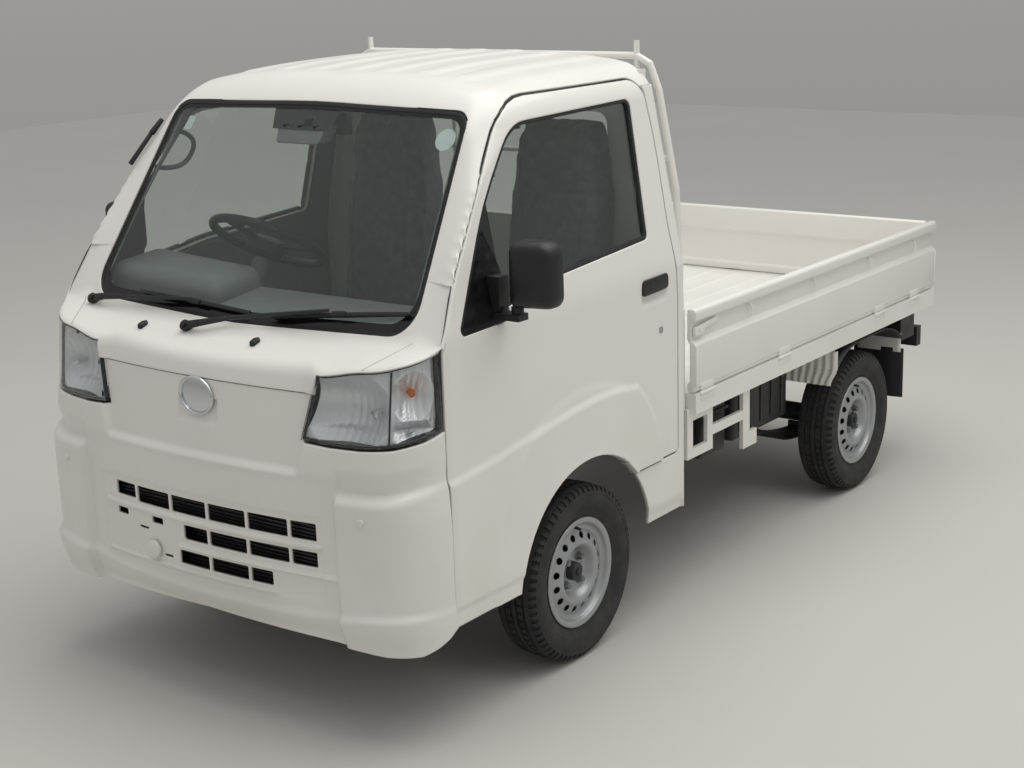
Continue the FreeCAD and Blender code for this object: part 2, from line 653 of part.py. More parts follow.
for index in range(4):
    nut = Part.makeCylinder(10, 14, Vector(0, 0, 50), Vector(1, 0, 0))
    nut.rotate(Vector(), Vector(1, 0, 0), 45 + 90 * index)
    nuts.append(nut)
rim = rim_turned.Shape.cut(vents[0].multiFuse(vents[1:])).fuse(nuts)
for end, place in (("front", "front_axle"), ("rear", "rear_axle")):
    for side_name, direction in (("left", 1), ("right", -1)):
        for kind, shape in (("rim", rim), ("tyre", tyre_turned.Shape)):
            wheel = solid(f"{end}_{side_name}_{kind}", shape)
            wheel.Placement = FreeCAD.Placement(Vector(), Rotation(Vector(0, 0, 1),
                                                0 if direction > 0 else 180))
            bind(wheel, "Placement.Base.x", f"{direction} * wheel_track")
            bind(wheel, "Placement.Base.y", place)
            bind(wheel, "Placement.Base.z", "wheel_height")

# ---- check and write ----

doc.recompute()
for thing in doc.Objects:
    if {"Invalid", "Error"} & set(thing.State):
        raise RuntimeError(f"{thing.Name} failed: {thing.State}")
for thing in finished:
    shape = thing.Shape
    if shape.isNull() or not shape.isValid() or shape.Volume <= 0:
        raise RuntimeError(f"{thing.Label} has no valid shape")
for thing in finished:
    thing.Shape.exportStep(f"parts/{thing.Label}.step")
print(f"{len(finished)} sub-parts written")
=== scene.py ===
"""Kei truck: the looks of a small cab-over drop-side truck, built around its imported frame.

Laid out as an add-on: property groups hold the sizes and colours, one operator makes each
piece or group of like pieces, and main() calls them in order. Lengths are in metres.
"""
import sys
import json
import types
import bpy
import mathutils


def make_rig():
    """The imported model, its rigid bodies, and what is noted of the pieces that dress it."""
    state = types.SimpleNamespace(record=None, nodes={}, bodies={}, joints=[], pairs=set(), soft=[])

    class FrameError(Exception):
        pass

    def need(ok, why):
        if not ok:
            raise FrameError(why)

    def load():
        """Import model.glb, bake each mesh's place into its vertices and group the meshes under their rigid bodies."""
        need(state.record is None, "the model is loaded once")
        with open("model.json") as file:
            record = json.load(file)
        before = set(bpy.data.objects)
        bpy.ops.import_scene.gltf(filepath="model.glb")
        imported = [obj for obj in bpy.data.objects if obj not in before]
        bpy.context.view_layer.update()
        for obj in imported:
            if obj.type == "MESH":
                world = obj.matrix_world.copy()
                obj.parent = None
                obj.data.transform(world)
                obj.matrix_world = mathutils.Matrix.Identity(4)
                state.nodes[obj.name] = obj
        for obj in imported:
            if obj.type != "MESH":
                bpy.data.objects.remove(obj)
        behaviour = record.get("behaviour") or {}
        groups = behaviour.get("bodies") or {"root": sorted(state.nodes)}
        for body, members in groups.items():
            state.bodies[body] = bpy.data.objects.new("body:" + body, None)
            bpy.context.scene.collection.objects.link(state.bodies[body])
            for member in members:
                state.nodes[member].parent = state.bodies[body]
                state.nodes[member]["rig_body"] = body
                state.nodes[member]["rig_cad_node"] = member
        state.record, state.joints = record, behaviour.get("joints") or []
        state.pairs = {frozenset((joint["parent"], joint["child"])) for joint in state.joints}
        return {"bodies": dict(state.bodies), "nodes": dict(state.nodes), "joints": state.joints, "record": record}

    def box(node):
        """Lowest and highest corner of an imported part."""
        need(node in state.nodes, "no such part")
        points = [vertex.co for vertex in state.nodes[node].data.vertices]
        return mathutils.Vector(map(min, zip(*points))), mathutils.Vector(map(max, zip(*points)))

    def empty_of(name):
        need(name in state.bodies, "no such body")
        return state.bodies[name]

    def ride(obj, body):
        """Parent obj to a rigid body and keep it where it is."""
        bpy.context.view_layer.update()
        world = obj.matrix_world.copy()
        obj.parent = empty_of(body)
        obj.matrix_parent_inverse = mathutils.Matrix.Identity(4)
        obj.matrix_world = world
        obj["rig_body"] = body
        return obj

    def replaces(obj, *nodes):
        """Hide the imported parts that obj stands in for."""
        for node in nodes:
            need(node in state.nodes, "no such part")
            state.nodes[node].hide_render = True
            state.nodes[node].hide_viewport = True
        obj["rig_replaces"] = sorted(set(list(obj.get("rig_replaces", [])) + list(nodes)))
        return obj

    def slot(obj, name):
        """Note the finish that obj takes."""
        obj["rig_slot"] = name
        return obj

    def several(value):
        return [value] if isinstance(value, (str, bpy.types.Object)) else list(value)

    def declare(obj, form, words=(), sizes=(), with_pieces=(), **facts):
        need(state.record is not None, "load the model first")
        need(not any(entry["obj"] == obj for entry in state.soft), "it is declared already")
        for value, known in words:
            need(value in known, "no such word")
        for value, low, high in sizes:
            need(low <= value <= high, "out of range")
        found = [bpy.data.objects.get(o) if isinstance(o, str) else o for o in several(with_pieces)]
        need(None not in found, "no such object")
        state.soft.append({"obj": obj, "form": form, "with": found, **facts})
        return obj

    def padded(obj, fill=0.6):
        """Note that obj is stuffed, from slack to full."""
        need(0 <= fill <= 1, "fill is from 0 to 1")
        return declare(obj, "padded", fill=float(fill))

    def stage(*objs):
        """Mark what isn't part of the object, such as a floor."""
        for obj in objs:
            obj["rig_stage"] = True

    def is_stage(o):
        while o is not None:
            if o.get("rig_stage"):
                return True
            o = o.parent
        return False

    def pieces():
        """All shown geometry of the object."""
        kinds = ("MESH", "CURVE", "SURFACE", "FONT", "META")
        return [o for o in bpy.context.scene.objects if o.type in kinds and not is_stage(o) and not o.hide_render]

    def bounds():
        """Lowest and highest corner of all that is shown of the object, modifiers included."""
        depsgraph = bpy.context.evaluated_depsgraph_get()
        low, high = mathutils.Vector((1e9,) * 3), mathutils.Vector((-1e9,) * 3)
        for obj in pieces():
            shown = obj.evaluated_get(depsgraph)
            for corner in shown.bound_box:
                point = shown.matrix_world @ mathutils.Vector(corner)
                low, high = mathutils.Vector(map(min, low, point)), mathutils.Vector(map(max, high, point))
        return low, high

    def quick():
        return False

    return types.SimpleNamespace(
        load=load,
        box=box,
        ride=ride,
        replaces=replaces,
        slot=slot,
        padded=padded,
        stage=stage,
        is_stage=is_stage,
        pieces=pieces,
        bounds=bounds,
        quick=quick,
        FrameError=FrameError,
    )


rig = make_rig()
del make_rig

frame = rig.load()
CAD_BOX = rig.bounds()

import json
import math

import bmesh
import bpy
from bpy.props import FloatProperty, FloatVectorProperty, IntProperty, PointerProperty
from mathutils import Matrix, Vector

bl_info = {
    "name": "Kei Truck",
    "version": (1, 0, 0),
    "blender": (4, 5, 0),
    "location": "3D View > Sidebar > Kei Truck",
    "description": "Makes the panels, glass, wheels and fittings of a small drop-side truck",
    "category": "Add Mesh",
}


def tint(code):
    """Linear RGBA of an sRGB hex colour."""
    channels = [int(code[place:place + 2], 16) / 255 for place in (1, 3, 5)]
    linear = [c / 12.92 if c <= 0.04045 else ((c + 0.055) / 1.055) ** 2.4 for c in channels]
    return (*linear, 1.0)


# ---- sizes and colours that a user would change ----

def length(name, description, default):
    return FloatProperty(name=name, description=description, default=default, unit="LENGTH")


def colour(name, description, code):
    return FloatVectorProperty(name=name, description=description, size=4, subtype="COLOR",
                               min=0, max=1, default=tint(code))


class KeiTruckBody(bpy.types.PropertyGroup):
    """Sizes of the cab's and bed's pressed panels"""
    edge_roll: length("Edge Roll", "Radius that a panel's edge is rolled to", 0.003)
    flange: length("Flange", "Depth of the return behind a panel's edge", 0.016)
    shut_line: length("Shut Line", "Gap between two panels", 0.0055)
    recess: length("Lamp Recess", "Depth of the panel between the headlamps", 0.019)
    pod: length("Corner Pod", "How far the bumper's corner pods stand proud", 0.016)
    sheet: length("Sheet", "Thickness of the pressed sheet", 0.0012)


class KeiTruckWheel(bpy.types.PropertyGroup):
    """Sizes of the tyres"""
    groove: length("Groove Depth", "Depth of the tread's grooves", 0.007)
    blocks: IntProperty(name="Blocks", description="Tread blocks round a tyre", default=64, min=12)


class KeiTruckColours(bpy.types.PropertyGroup):
    """Colours of the finishes"""
    paint: colour("Paint", "Body enamel", "#EDEBE6")
    dust: colour("Road Dust", "Film that lies on low paint", "#CFCABF")
    rubber: colour("Rubber", "Tyres and seals", "#2B2C2E")
    plastic: colour("Trim Plastic", "Unpainted moulded trim", "#232427")
    glass: colour("Glass", "Tinted safety glass", "#E6ECE9")
    privacy: colour("Frit", "Baked border of the glass", "#161719")
    wheel: colour("Wheel Silver", "Stoved wheel paint", "#A9ACAF")
    chassis: colour("Chassis Black", "Underbody paint", "#26272A")
    amber: colour("Amber", "Turn lamp bulb", "#D9782A")
    red: colour("Red Lens", "Tail lamp lens", "#A11A1C")
    seat: colour("Seat Cloth", "Woven seat covers", "#74777B")
    cabin: colour("Cabin Plastic", "Dashboard and inner trim", "#7E8184")
    floor: colour("Studio Floor", "Floor and backdrop", "#C8C6C1")


SIDES = (("left", 1), ("right", -1))
GROUPS = {"kei_body": KeiTruckBody, "kei_wheel": KeiTruckWheel, "kei_colours": KeiTruckColours}


def settings(kind):
    return getattr(bpy.context.scene, f"kei_{kind}")


# ---- mesh helpers ----

def smooth(low, high, value):
    """0 below low, 1 above high, and an even S between; high may be the lower one."""
    share = min(1.0, max(0.0, (value - low) / (high - low)))
    return share * share * (3 - 2 * share)


def band(low, high, soft, value):
    """1 between low and high, fading to 0 over a soft width outside."""
    return smooth(low - soft, low, value) * smooth(high + soft, high, value)


def along(table, value):
    """Straight-line reading of a short (place, amount) table."""
    if value <= table[0][0]:
        return table[0][1]
    for (low, first), (high, second) in zip(table, table[1:]):
        if value <= high:
            return first + (second - first) * (value - low) / (high - low)
    return table[-1][1]


def rounded(corners, segments=8):
    """Outline through (a, b, radius) corners, each drawn as an arc of short runs."""
    outline = []
    count = len(corners)
    for index, (a, b, radius) in enumerate(corners):
        here = Vector((a, b))
        back = (Vector(corners[index - 1][:2]) - here).normalized()
        ahead = (Vector(corners[(index + 1) % count][:2]) - here).normalized()
        if radius == 0:
            outline.append(here)
            continue
        half = back.angle(ahead) / 2
        inward = (back + ahead).normalized()
        centre = here + inward * (radius / math.sin(half))
        start = here + back * (radius / math.tan(half)) - centre
        sweep = (math.pi - 2 * half) * (1 if back.cross(ahead) < 0 else -1)
        steps = max(2, int(segments * abs(sweep) / (math.pi / 2)) + 1)
        for step in range(steps + 1):
            turn = Matrix.Rotation(sweep * step / steps, 2)
            outline.append(centre + turn @ start)
    return outline


def grown(outline, by):
    """The outline moved outwards by a distance, or inwards by a negative one."""
    area = sum(a.cross(b) for a, b in zip(outline, outline[1:] + outline[:1]))
    sign = 1 if area > 0 else -1
    moved = []
    for index, here in enumerate(outline):
        before = (here - outline[index - 1]).normalized()
        after = (outline[(index + 1) % len(outline)] - here).normalized()
        normal = Vector((before.y + after.y, -before.x - after.x)).normalized() * sign
        spread = max(0.3, normal.dot(Vector((before.y, -before.x)) * sign))
        moved.append(here + normal * (by / spread))
    return moved


def oblong(low, high, radius=0.0):
    """Outline of a rectangle between two corners, rounded where a radius is given."""
    corners = (low, (high[0], low[1]), high, (low[0], high[1]))
    return rounded([(*corner, radius) for corner in corners], 3)


def inside(outline, point):
    """True if a point lies within an outline."""
    a, b = point
    odd = False
    for here, there in zip(outline, outline[1:] + outline[:1]):
        if (here.y > b) != (there.y > b):
            if a < here.x + (b - here.y) / (there.y - here.y) * (there.x - here.x):
                odd = not odd
    return odd


def punch(bm, outline, axis=2, keep=False, region=None):
    """Cut a mesh along an outline drawn across an axis and drop what lies inside it, or outside."""
    one, two = [index for index in range(3) if index != axis]
    margin = 1e-5
    low_a, high_a = min(p.x for p in outline), max(p.x for p in outline)
    low_b, high_b = min(p.y for p in outline), max(p.y for p in outline)
    slack = 0.03

    def spans(face):
        a = [vert.co[one] for vert in face.verts]
        b = [vert.co[two] for vert in face.verts]
        return min(a), max(a), min(b), max(b)

    near = {}
    for face in bm.faces:
        centre = face.calc_center_bounds()
        if (low_a - slack < centre[one] < high_a + slack
                and low_b - slack < centre[two] < high_b + slack
                and (region is None or region(centre))):
            near[face] = spans(face)
    within = set(near)
    for here, there in zip(outline, outline[1:] + outline[:1]):
        run = there - here
        if run.length < 1e-7:
            continue
        left, right = min(here.x, there.x) - margin, max(here.x, there.x) + margin
        down, up = min(here.y, there.y) - margin, max(here.y, there.y) + margin
        chosen = [face for face, box in near.items()
                  if box[1] > left and box[0] < right and box[3] > down and box[2] < up]
        if not chosen:
            continue
        normal = [0.0, 0.0, 0.0]
        normal[one], normal[two] = run.y, -run.x
        place = [0.0, 0.0, 0.0]
        place[one], place[two] = here.x, here.y
        geometry = set(chosen)
        for face in chosen:
            geometry.update(face.edges)
            geometry.update(face.verts)
            del near[face]
        cut = bmesh.ops.bisect_plane(bm, geom=list(geometry), dist=1e-6, plane_co=place,
                                     plane_no=Vector(normal).normalized())
        fresh = {item for item in cut["geom"] if isinstance(item, bmesh.types.BMFace)}
        fresh.update(face for face in chosen if face.is_valid)
        near.update({face: spans(face) for face in fresh})
        within.update(fresh)
    doomed = []
    for face in (bm.faces if keep else [face for face in within if face.is_valid]):
        centre = face.calc_center_median()
        if inside(outline, (centre[one], centre[two])) != keep:
            doomed.append(face)
    bmesh.ops.delete(bm, geom=doomed, context="FACES")
    return bm


def sheet(columns, rows, wide, tall):
    """A flat grid from (low, high) across and (low, high) up, in the XY plane."""
    bm = bmesh.new()
    bmesh.ops.create_grid(bm, x_segments=columns, y_segments=rows, size=0.5)
    for vert in bm.verts:
        vert.co.x = wide[0] + (vert.co.x + 0.5) * (wide[1] - wide[0])
        vert.co.y = tall[0] + (vert.co.y + 0.5) * (tall[1] - tall[0])
    return bm


def mapped(bm, surface):
    """Move each vertex to where a surface function puts its flat place."""
    for vert in bm.verts:
        vert.co = surface(vert.co.x, vert.co.y)
    return bm


def roll(bm, radius, depth, edges=None, steps=3):
    """Round off open edges with a small roll and turn them back into a flange."""
    bm.normal_update()
    rim = edges if edges is not None else [edge for edge in bm.edges if edge.is_boundary]
    outward = {}
    normals = {}
    for edge in rim:
        face = edge.link_faces[0]
        first, second = edge.verts
        run = (second.co - first.co).normalized()
        middle = (first.co + second.co) / 2 - face.calc_center_median()
        side = middle - run * middle.dot(run)
        side = (side - face.normal * side.dot(face.normal)).normalized()
        for vert in edge.verts:
            outward.setdefault(vert, Vector())
            outward[vert] += side
            normals[vert] = vert.normal.copy()
    last = {vert: vert for vert in outward}
    start = {vert: vert.co.copy() for vert in outward}
    ring = rim
    turns = [math.pi / 2 * step / steps for step in range(1, steps + 1)] if radius else []
    stages = [(radius * math.sin(turn), radius * (1 - math.cos(turn))) for turn in turns]
    if depth > radius:
        stages.append((radius, depth))
    for reach, drop in stages:
        made = bmesh.ops.extrude_edge_only(bm, edges=ring)["geom"]
        ring = [item for item in made if isinstance(item, bmesh.types.BMEdge)]
        fresh = {}
        for vert in last:
            old = last[vert]
            for edge in old.link_edges:
                other = edge.other_vert(old)
                if other in fresh or other.co != old.co:
                    continue
                fresh[vert] = other
        for vert, new in fresh.items():
            side = outward[vert]
            stretch = 1 / max(0.45, side.length / 2) if side.length else 1
            new.co = start[vert] + side.normalized() * reach * stretch - normals[vert] * drop
        last = {vert: fresh.get(vert, last[vert]) for vert in last}
    return bm


def shade(mesh, angle=35):
    """Smooth shading, broken at edges sharper than an angle in degrees."""
    mesh.shade_smooth()
    mesh.set_sharp_from_angle(angle=math.radians(angle))


def piece(name, bm, finish, body="truck", stands_for=(), slot=None, angle=35, closed=True):
    """Turn a bmesh into a named object that rides on a body and has one finish.

    A closed bmesh has its normals recalculated; an open one keeps the way that it faces.
    """
    if closed:
        bmesh.ops.recalc_face_normals(bm, faces=bm.faces)
    mesh = bpy.data.meshes.new(name)
    bm.to_mesh(mesh)
    bm.free()
    shade(mesh, angle)
    thing = bpy.data.objects.new(name, mesh)
    bpy.context.scene.collection.objects.link(thing)
    mesh.materials.append(material_of(finish))
    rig.ride(thing, body)
    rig.slot(thing, slot or FINISHES[finish][1])
    if stands_for:
        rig.replaces(thing, *stands_for)
    return thing


def panel(name, bm, facing, finish, body="truck", stands_for=(), slot=None, edge=None, wall=0):
    """An open sheet that faces a way, its edges rolled and its wall thickened.

    A name that holds {side} makes the same panel on both sides of the truck.
    """
    if facing:
        outwards(bm, Vector(facing))
    if edge:
        roll(bm, *edge)
    sides = (("right", other_side(bm)), ("left", bm)) if "{side}" in name else (("", bm),)
    for side, copy in sides:
        nodes = [node.format(side=side) for node in stands_for]
        made = piece(name.format(side=side), copy, finish, body.format(side=side), nodes, slot,
                     closed=False)
        if wall:
            thicken(made, wall)


def outwards(bm, direction):
    """Turn an open sheet so that its faces look a given way."""
    bm.normal_update()
    total = sum((face.normal * face.calc_area() for face in bm.faces), Vector())
    if total.dot(direction) < 0:
        bmesh.ops.reverse_faces(bm, faces=bm.faces)
        bm.normal_update()


def move(bm, by):
    bmesh.ops.translate(bm, vec=by, verts=bm.verts)
    return bm


def ball(radii, centre, columns, rows):
    """A sphere stretched to three radii about a centre."""
    bm = bmesh.new()
    bmesh.ops.create_uvsphere(bm, u_segments=columns, v_segments=rows, radius=1)
    bmesh.ops.scale(bm, vec=radii, verts=bm.verts)
    return move(bm, centre)


def other_side(bm):
    """The same mesh on the truck's other side."""
    copy = bm.copy()
    bmesh.ops.scale(copy, vec=(-1, 1, 1), verts=copy.verts)
    bmesh.ops.reverse_faces(copy, faces=copy.faces)
    return copy


def cut(bm, place, normal, **more):
    """Split a mesh along a plane."""
    bmesh.ops.bisect_plane(bm, geom=bm.verts[:] + bm.edges[:] + bm.faces[:], dist=1e-6,
                           plane_co=place, plane_no=normal, **more)


def thicken(thing, depth):
    """Give a pressed panel its sheet's thickness, inwards."""
    wall = thing.modifiers.new("sheet", "SOLIDIFY")
    wall.thickness = depth
    wall.offset = -1
    wall.use_even_offset = False


def turned(section, steps, closed=False):
    """A section of (across, radius) points turned once round the X axis."""
    bm = bmesh.new()
    points = [bm.verts.new((across, 0, radius)) for across, radius in section]
    ends = points[1:] + (points[:1] if closed else [])
    runs = [bm.edges.new(pair) for pair in zip(points, ends)]
    bmesh.ops.spin(bm, geom=points + runs, cent=(0, 0, 0), axis=(1, 0, 0), angle=math.tau,
                   steps=steps, use_merge=True)
    bmesh.ops.recalc_face_normals(bm, faces=bm.faces)
    return bm


def extruded(outline, axis, low, high, bevel=0.0, segments=3):
    """A closed prism from an outline across an axis, with softened edges."""
    bm = bmesh.new()
    one, two = [index for index in range(3) if index != axis]
    verts = []
    for point in outline:
        place = [0.0, 0.0, 0.0]
        place[one], place[two], place[axis] = point[0], point[1], low
        verts.append(bm.verts.new(place))
    face = bm.faces.new(verts)
    made = bmesh.ops.extrude_face_region(bm, geom=[face])["geom"]
    push = [0.0, 0.0, 0.0]
    push[axis] = high - low
    bmesh.ops.translate(bm, vec=push, verts=[v for v in made if isinstance(v, bmesh.types.BMVert)])
    bmesh.ops.recalc_face_normals(bm, faces=bm.faces)
    if bevel:
        soften(bm, bevel, segments)
    return bm


def soften(bm, width, segments=2, angle=40):
    """Bevel the edges sharper than an angle."""
    sharp = [edge for edge in bm.edges
             if edge.is_manifold and edge.calc_face_angle() > math.radians(angle)]
    bmesh.ops.bevel(bm, geom=sharp, offset=width, affect="EDGES", segments=segments, profile=0.5,
                    material=-1, clamp_overlap=True)
    return bm


def slab(low, high, bevel=0.002, segments=2):
    """A block between two corners with softened edges."""
    bm = bmesh.new()
    bmesh.ops.create_cube(bm, size=1)
    low, high = Vector(low), Vector(high)
    bmesh.ops.scale(bm, vec=high - low, verts=bm.verts)
    move(bm, (low + high) / 2)
    if bevel:
        soften(bm, bevel, segments)
    return bm


def drum(centre, axis, radius, depth, sides=32, bevel=0.001, top=None):
    """A round bar about a direction, from its start point, narrowed to a top radius if given."""
    bm = bmesh.new()
    bmesh.ops.create_cone(bm, cap_ends=True, segments=sides, radius1=radius,
                          radius2=radius if top is None else top, depth=depth)
    move(bm, (0, 0, depth / 2))
    if bevel:
        soften(bm, bevel, 2, 50)
    turn = Vector((0, 0, 1)).rotation_difference(Vector(axis))
    bmesh.ops.rotate(bm, matrix=turn.to_matrix(), verts=bm.verts)
    return move(bm, centre)


def merged(parts):
    """One bmesh from several."""
    whole = bmesh.new()
    holder = bpy.data.meshes.new("holder")
    for part in parts:
        part.to_mesh(holder)
        whole.from_mesh(holder)
        part.free()
    bpy.data.meshes.remove(holder)
    return whole


def evaluated(thing):
    """The mesh that an object's curve or modifiers give."""
    depsgraph = bpy.context.evaluated_depsgraph_get()
    return bpy.data.meshes.new_from_object(thing.evaluated_get(depsgraph))


def pipe(points, radius, sides=10, closed=False):
    """A round bar that follows points, with a smooth bend at each."""
    points = [Vector(point) for point in points]
    line = bpy.data.curves.new("line", "CURVE")
    line.dimensions = "3D"
    line.bevel_depth = radius
    line.bevel_resolution = max(1, sides // 4)
    line.use_fill_caps = not closed
    spline = line.splines.new("NURBS")
    spline.points.add(len(points) - 1)
    for knot, point in zip(spline.points, points):
        knot.co = (*point, 1)
    spline.use_cyclic_u = closed
    spline.use_endpoint_u = True
    spline.order_u = 3
    spline.resolution_u = 6
    thing = bpy.data.objects.new("line", line)
    bpy.context.scene.collection.objects.link(thing)
    mesh = evaluated(thing)
    bm = bmesh.new()
    bm.from_mesh(mesh)
    bmesh.ops.remove_doubles(bm, verts=bm.verts, dist=1e-6)
    bpy.data.meshes.remove(mesh)
    bpy.data.objects.remove(thing)
    bpy.data.curves.remove(line)
    return bm


# ---- finishes ----

FINISHES = {}
MADE = {}


def finish(name, slot):
    """Register a material's maker under a name, with the CAD slot that it stands for."""
    def keep(build):
        FINISHES[name] = (build, slot)
        return build
    return keep


def material_of(name):
    """The finish's material, made once."""
    if name not in MADE:
        MADE[name] = FINISHES[name][0](settings("colours"))
    return MADE[name]


def add(tree, kind, values=None, links=None):
    """Add a node, set its inputs or settings by name and link its inputs."""
    node = tree.nodes.new(f"ShaderNode{kind}")
    for key, value in (values or {}).items():
        if isinstance(key, int) or key in node.inputs:
            node.inputs[key].default_value = value
        else:
            setattr(node, key, value)
    for key, socket in (links or {}).items():
        tree.links.new(socket, node.inputs[key])
    return node


def blank(name):
    """A new material, its empty tree and a socket that reads Object coordinates."""
    material = bpy.data.materials.new(name)
    material.use_nodes = True
    tree = material.node_tree
    tree.nodes.clear()
    return material, tree, add(tree, "TexCoord").outputs["Object"]


def shaded(material, values, links, kind="BsdfPrincipled"):
    """Close a material with its shader."""
    shader = add(material.node_tree, kind, values, links)
    add(material.node_tree, "OutputMaterial", links={0: shader.outputs[0]})
    return material


def noise(tree, where, size, detail=2.0):
    """Even noise whose blotches are about a size in metres."""
    return add(tree, "TexNoise", {"Scale": 1 / size, "Detail": detail, "Roughness": 0.5},
               {"Vector": where}).outputs["Fac"]


def spread(tree, source, low, high, dark, light):
    """Colours from one to another as a value goes from low to high."""
    ramp = add(tree, "ValToRGB", links={"Fac": source})
    ends = ramp.color_ramp.elements
    ends[0].position, ends[1].position = low, high
    ends[0].color, ends[1].color = dark, light
    return ramp.outputs["Color"]


def span(tree, source, low, high, bottom, top):
    """A number from bottom to top as a value goes from low to high."""
    return add(tree, "MapRange", {1: low, 2: high, 3: bottom, 4: top}, {"Value": source}).outputs[0]


def mixed(tree, share, first, second):
    """One colour blended into another by a share."""
    ends = {"data_type": "RGBA", 6: first, 7: second}
    return add(tree, "Mix", ends, {"Factor": share}).outputs[2]


def product(tree, first, second):
    return add(tree, "Math", {"operation": "MULTIPLY"}, {0: first, 1: second}).outputs[0]


def bump(tree, height, strength, distance):
    return add(tree, "Bump", {"Strength": strength, "Distance": distance},
               {"Height": height}).outputs["Normal"]


def deeper(colour, share):
    """The same colour, darker by a share."""
    return (*(channel * share for channel in colour[:3]), 1.0)


@finish("paint", "body_paint")
def body_enamel(colours):
    """White alkyd enamel, sprayed and stoved: soft gloss, faint orange peel and a film of dust."""
    material, tree, where = blank("white_body_enamel")
    height = add(tree, "SeparateXYZ", links={"Vector": where}).outputs["Z"]
    low = span(tree, height, 0.25, 0.95, 0.55, 0.0)
    film = product(tree, low, span(tree, noise(tree, where, 0.35, 4), 0.35, 0.75, 0.0, 1.0))
    return shaded(material, {"Coat Weight": 0.35, "Coat Roughness": 0.10, "IOR": 1.5}, {
        "Base Color": mixed(tree, film, colours.paint, colours.dust),
        "Roughness": span(tree, noise(tree, where, 0.12, 3), 0.3, 0.7, 0.30, 0.40),
        "Normal": bump(tree, noise(tree, where, 0.004, 1), 0.05, 0.0006)})


@finish("tyre", "tyre")
def tyre_rubber(colours):
    """Carbon-black tyre rubber: dull grey-black, with a film of road dust in its tread."""
    material, tree, where = blank("carbon_black_tyre_rubber")
    dust = span(tree, noise(tree, where, 0.05, 4), 0.4, 0.8, 0.0, 0.35)
    return shaded(material, {"Roughness": 0.82, "IOR": 1.5}, {
        "Base Color": mixed(tree, dust, colours.rubber, tint("#55524C")),
        "Normal": bump(tree, noise(tree, where, 0.0015, 2), 0.2, 0.0004)})


@finish("wheel", "wheel_steel")
def wheel_paint(colours):
    """Silver polyester on pressed steel: tiny metal flakes, slightly satin."""
    material, tree, where = blank("silver_stoved_wheel_paint")
    grime = span(tree, noise(tree, where, 0.06, 4), 0.35, 0.8, 0.0, 0.3)
    return shaded(material, {"Metallic": 0.55}, {
        "Base Color": mixed(tree, grime, colours.wheel, tint("#8C8881")),
        "Roughness": span(tree, noise(tree, where, 0.0018, 1), 0.3, 0.7, 0.34, 0.46)})


@finish("bright", "lamp")
def bright_metal(colours):
    """Chromium plate on moulded ABS: a near mirror with faint wipe marks."""
    material, tree, where = blank("chromium_plate")
    return shaded(material, {"Base Color": tint("#D9DCDE"), "Metallic": 1.0}, {
        "Roughness": span(tree, noise(tree, where, 0.02, 3), 0.3, 0.7, 0.06, 0.14)})


@finish("reflector", "lamp")
def lamp_reflector(colours):
    """Vacuum-metallised reflector bowl: bright, with moulded flutes that scatter light."""
    material, tree, where = blank("metallised_reflector")
    flutes = add(tree, "TexWave", {"Scale": 60.0, "Distortion": 0.6, "bands_direction": "X"},
                 {"Vector": where}).outputs["Fac"]
    return shaded(material, {"Base Color": tint("#F6F7F8"), "Metallic": 0.45, "Roughness": 0.28},
                  {"Normal": bump(tree, flutes, 0.3, 0.0012)})


@finish("cloth", "seat_cloth")
def seat_cloth(colours):
    """Woven polyester seat cloth: a plain weave whose threads are drawn 1.6 mm apart to show."""
    material, tree, where = blank("woven_polyester_seat_cloth")
    threads = [add(tree, "TexWave", {"Scale": 1 / 0.0016 / 6.283, "bands_direction": way},
                   {"Vector": where}).outputs["Fac"] for way in "XZ"]
    return shaded(material, {"Roughness": 0.9, "Sheen Weight": 0.3}, {
        "Base Color": spread(tree, noise(tree, where, 0.03, 4), 0.3, 0.7,
                             deeper(colours.seat, 0.7), colours.seat),
        "Normal": bump(tree, product(tree, *threads), 0.4, 0.0008)})


@finish("floor", None)
def studio_floor(colours):
    """Plain pale floor and backdrop."""
    material, tree, where = blank("pale_studio_floor")
    return shaded(material, {"Roughness": 0.8}, {
        "Base Color": spread(tree, noise(tree, where, 1.5, 3), 0.3, 0.7,
                             deeper(colours.floor, 0.97), colours.floor)})


def moulded(name, colour, roughness, depth, grain=0.0012):
    """Moulded plastic or rubber: even in tone, with the fine leather grain of its tool."""
    material, tree, where = blank(name)
    return shaded(material, {"IOR": 1.46}, {
        "Base Color": spread(tree, noise(tree, where, 0.09, 4), 0.3, 0.75,
                             deeper(colour, 0.85), colour),
        "Roughness": span(tree, noise(tree, where, 0.05, 3), 0.3, 0.7,
                          roughness - 0.06, roughness + 0.06),
        "Normal": bump(tree, noise(tree, where, grain, 2), depth, 0.0004)})


def sprayed(name, colour, roughness, metallic):
    """Brushed-on or sprayed underbody paint, or a cast skin: uneven, with grit in it."""
    material, tree, where = blank(name)
    return shaded(material, {"Metallic": metallic}, {
        "Base Color": spread(tree, noise(tree, where, 0.08, 5), 0.3, 0.8,
                             colour, deeper(colour, 1.8)),
        "Normal": bump(tree, noise(tree, where, 0.004, 3), 0.3, 0.0006),
        "Roughness": span(tree, noise(tree, where, 0.03, 3), 0.3, 0.7,
                          roughness - 0.1, roughness + 0.1)})


def clear(name, colour, ior):
    """A see-through sheet that lamps shine through without a caustic."""
    material, tree, where = blank(name)
    smear = span(tree, noise(tree, where, 0.2, 4), 0.4, 0.8, 0.0, 0.03)
    body = add(tree, "BsdfPrincipled", {"Base Color": colour, "Transmission Weight": 1.0,
                                        "IOR": ior}, {"Roughness": smear})
    open_way = add(tree, "BsdfTransparent", {"Color": colour})
    lamp = add(tree, "LightPath").outputs["Is Shadow Ray"]
    return shaded(material, {}, {0: lamp, 1: body.outputs[0], 2: open_way.outputs[0]}, "MixShader")


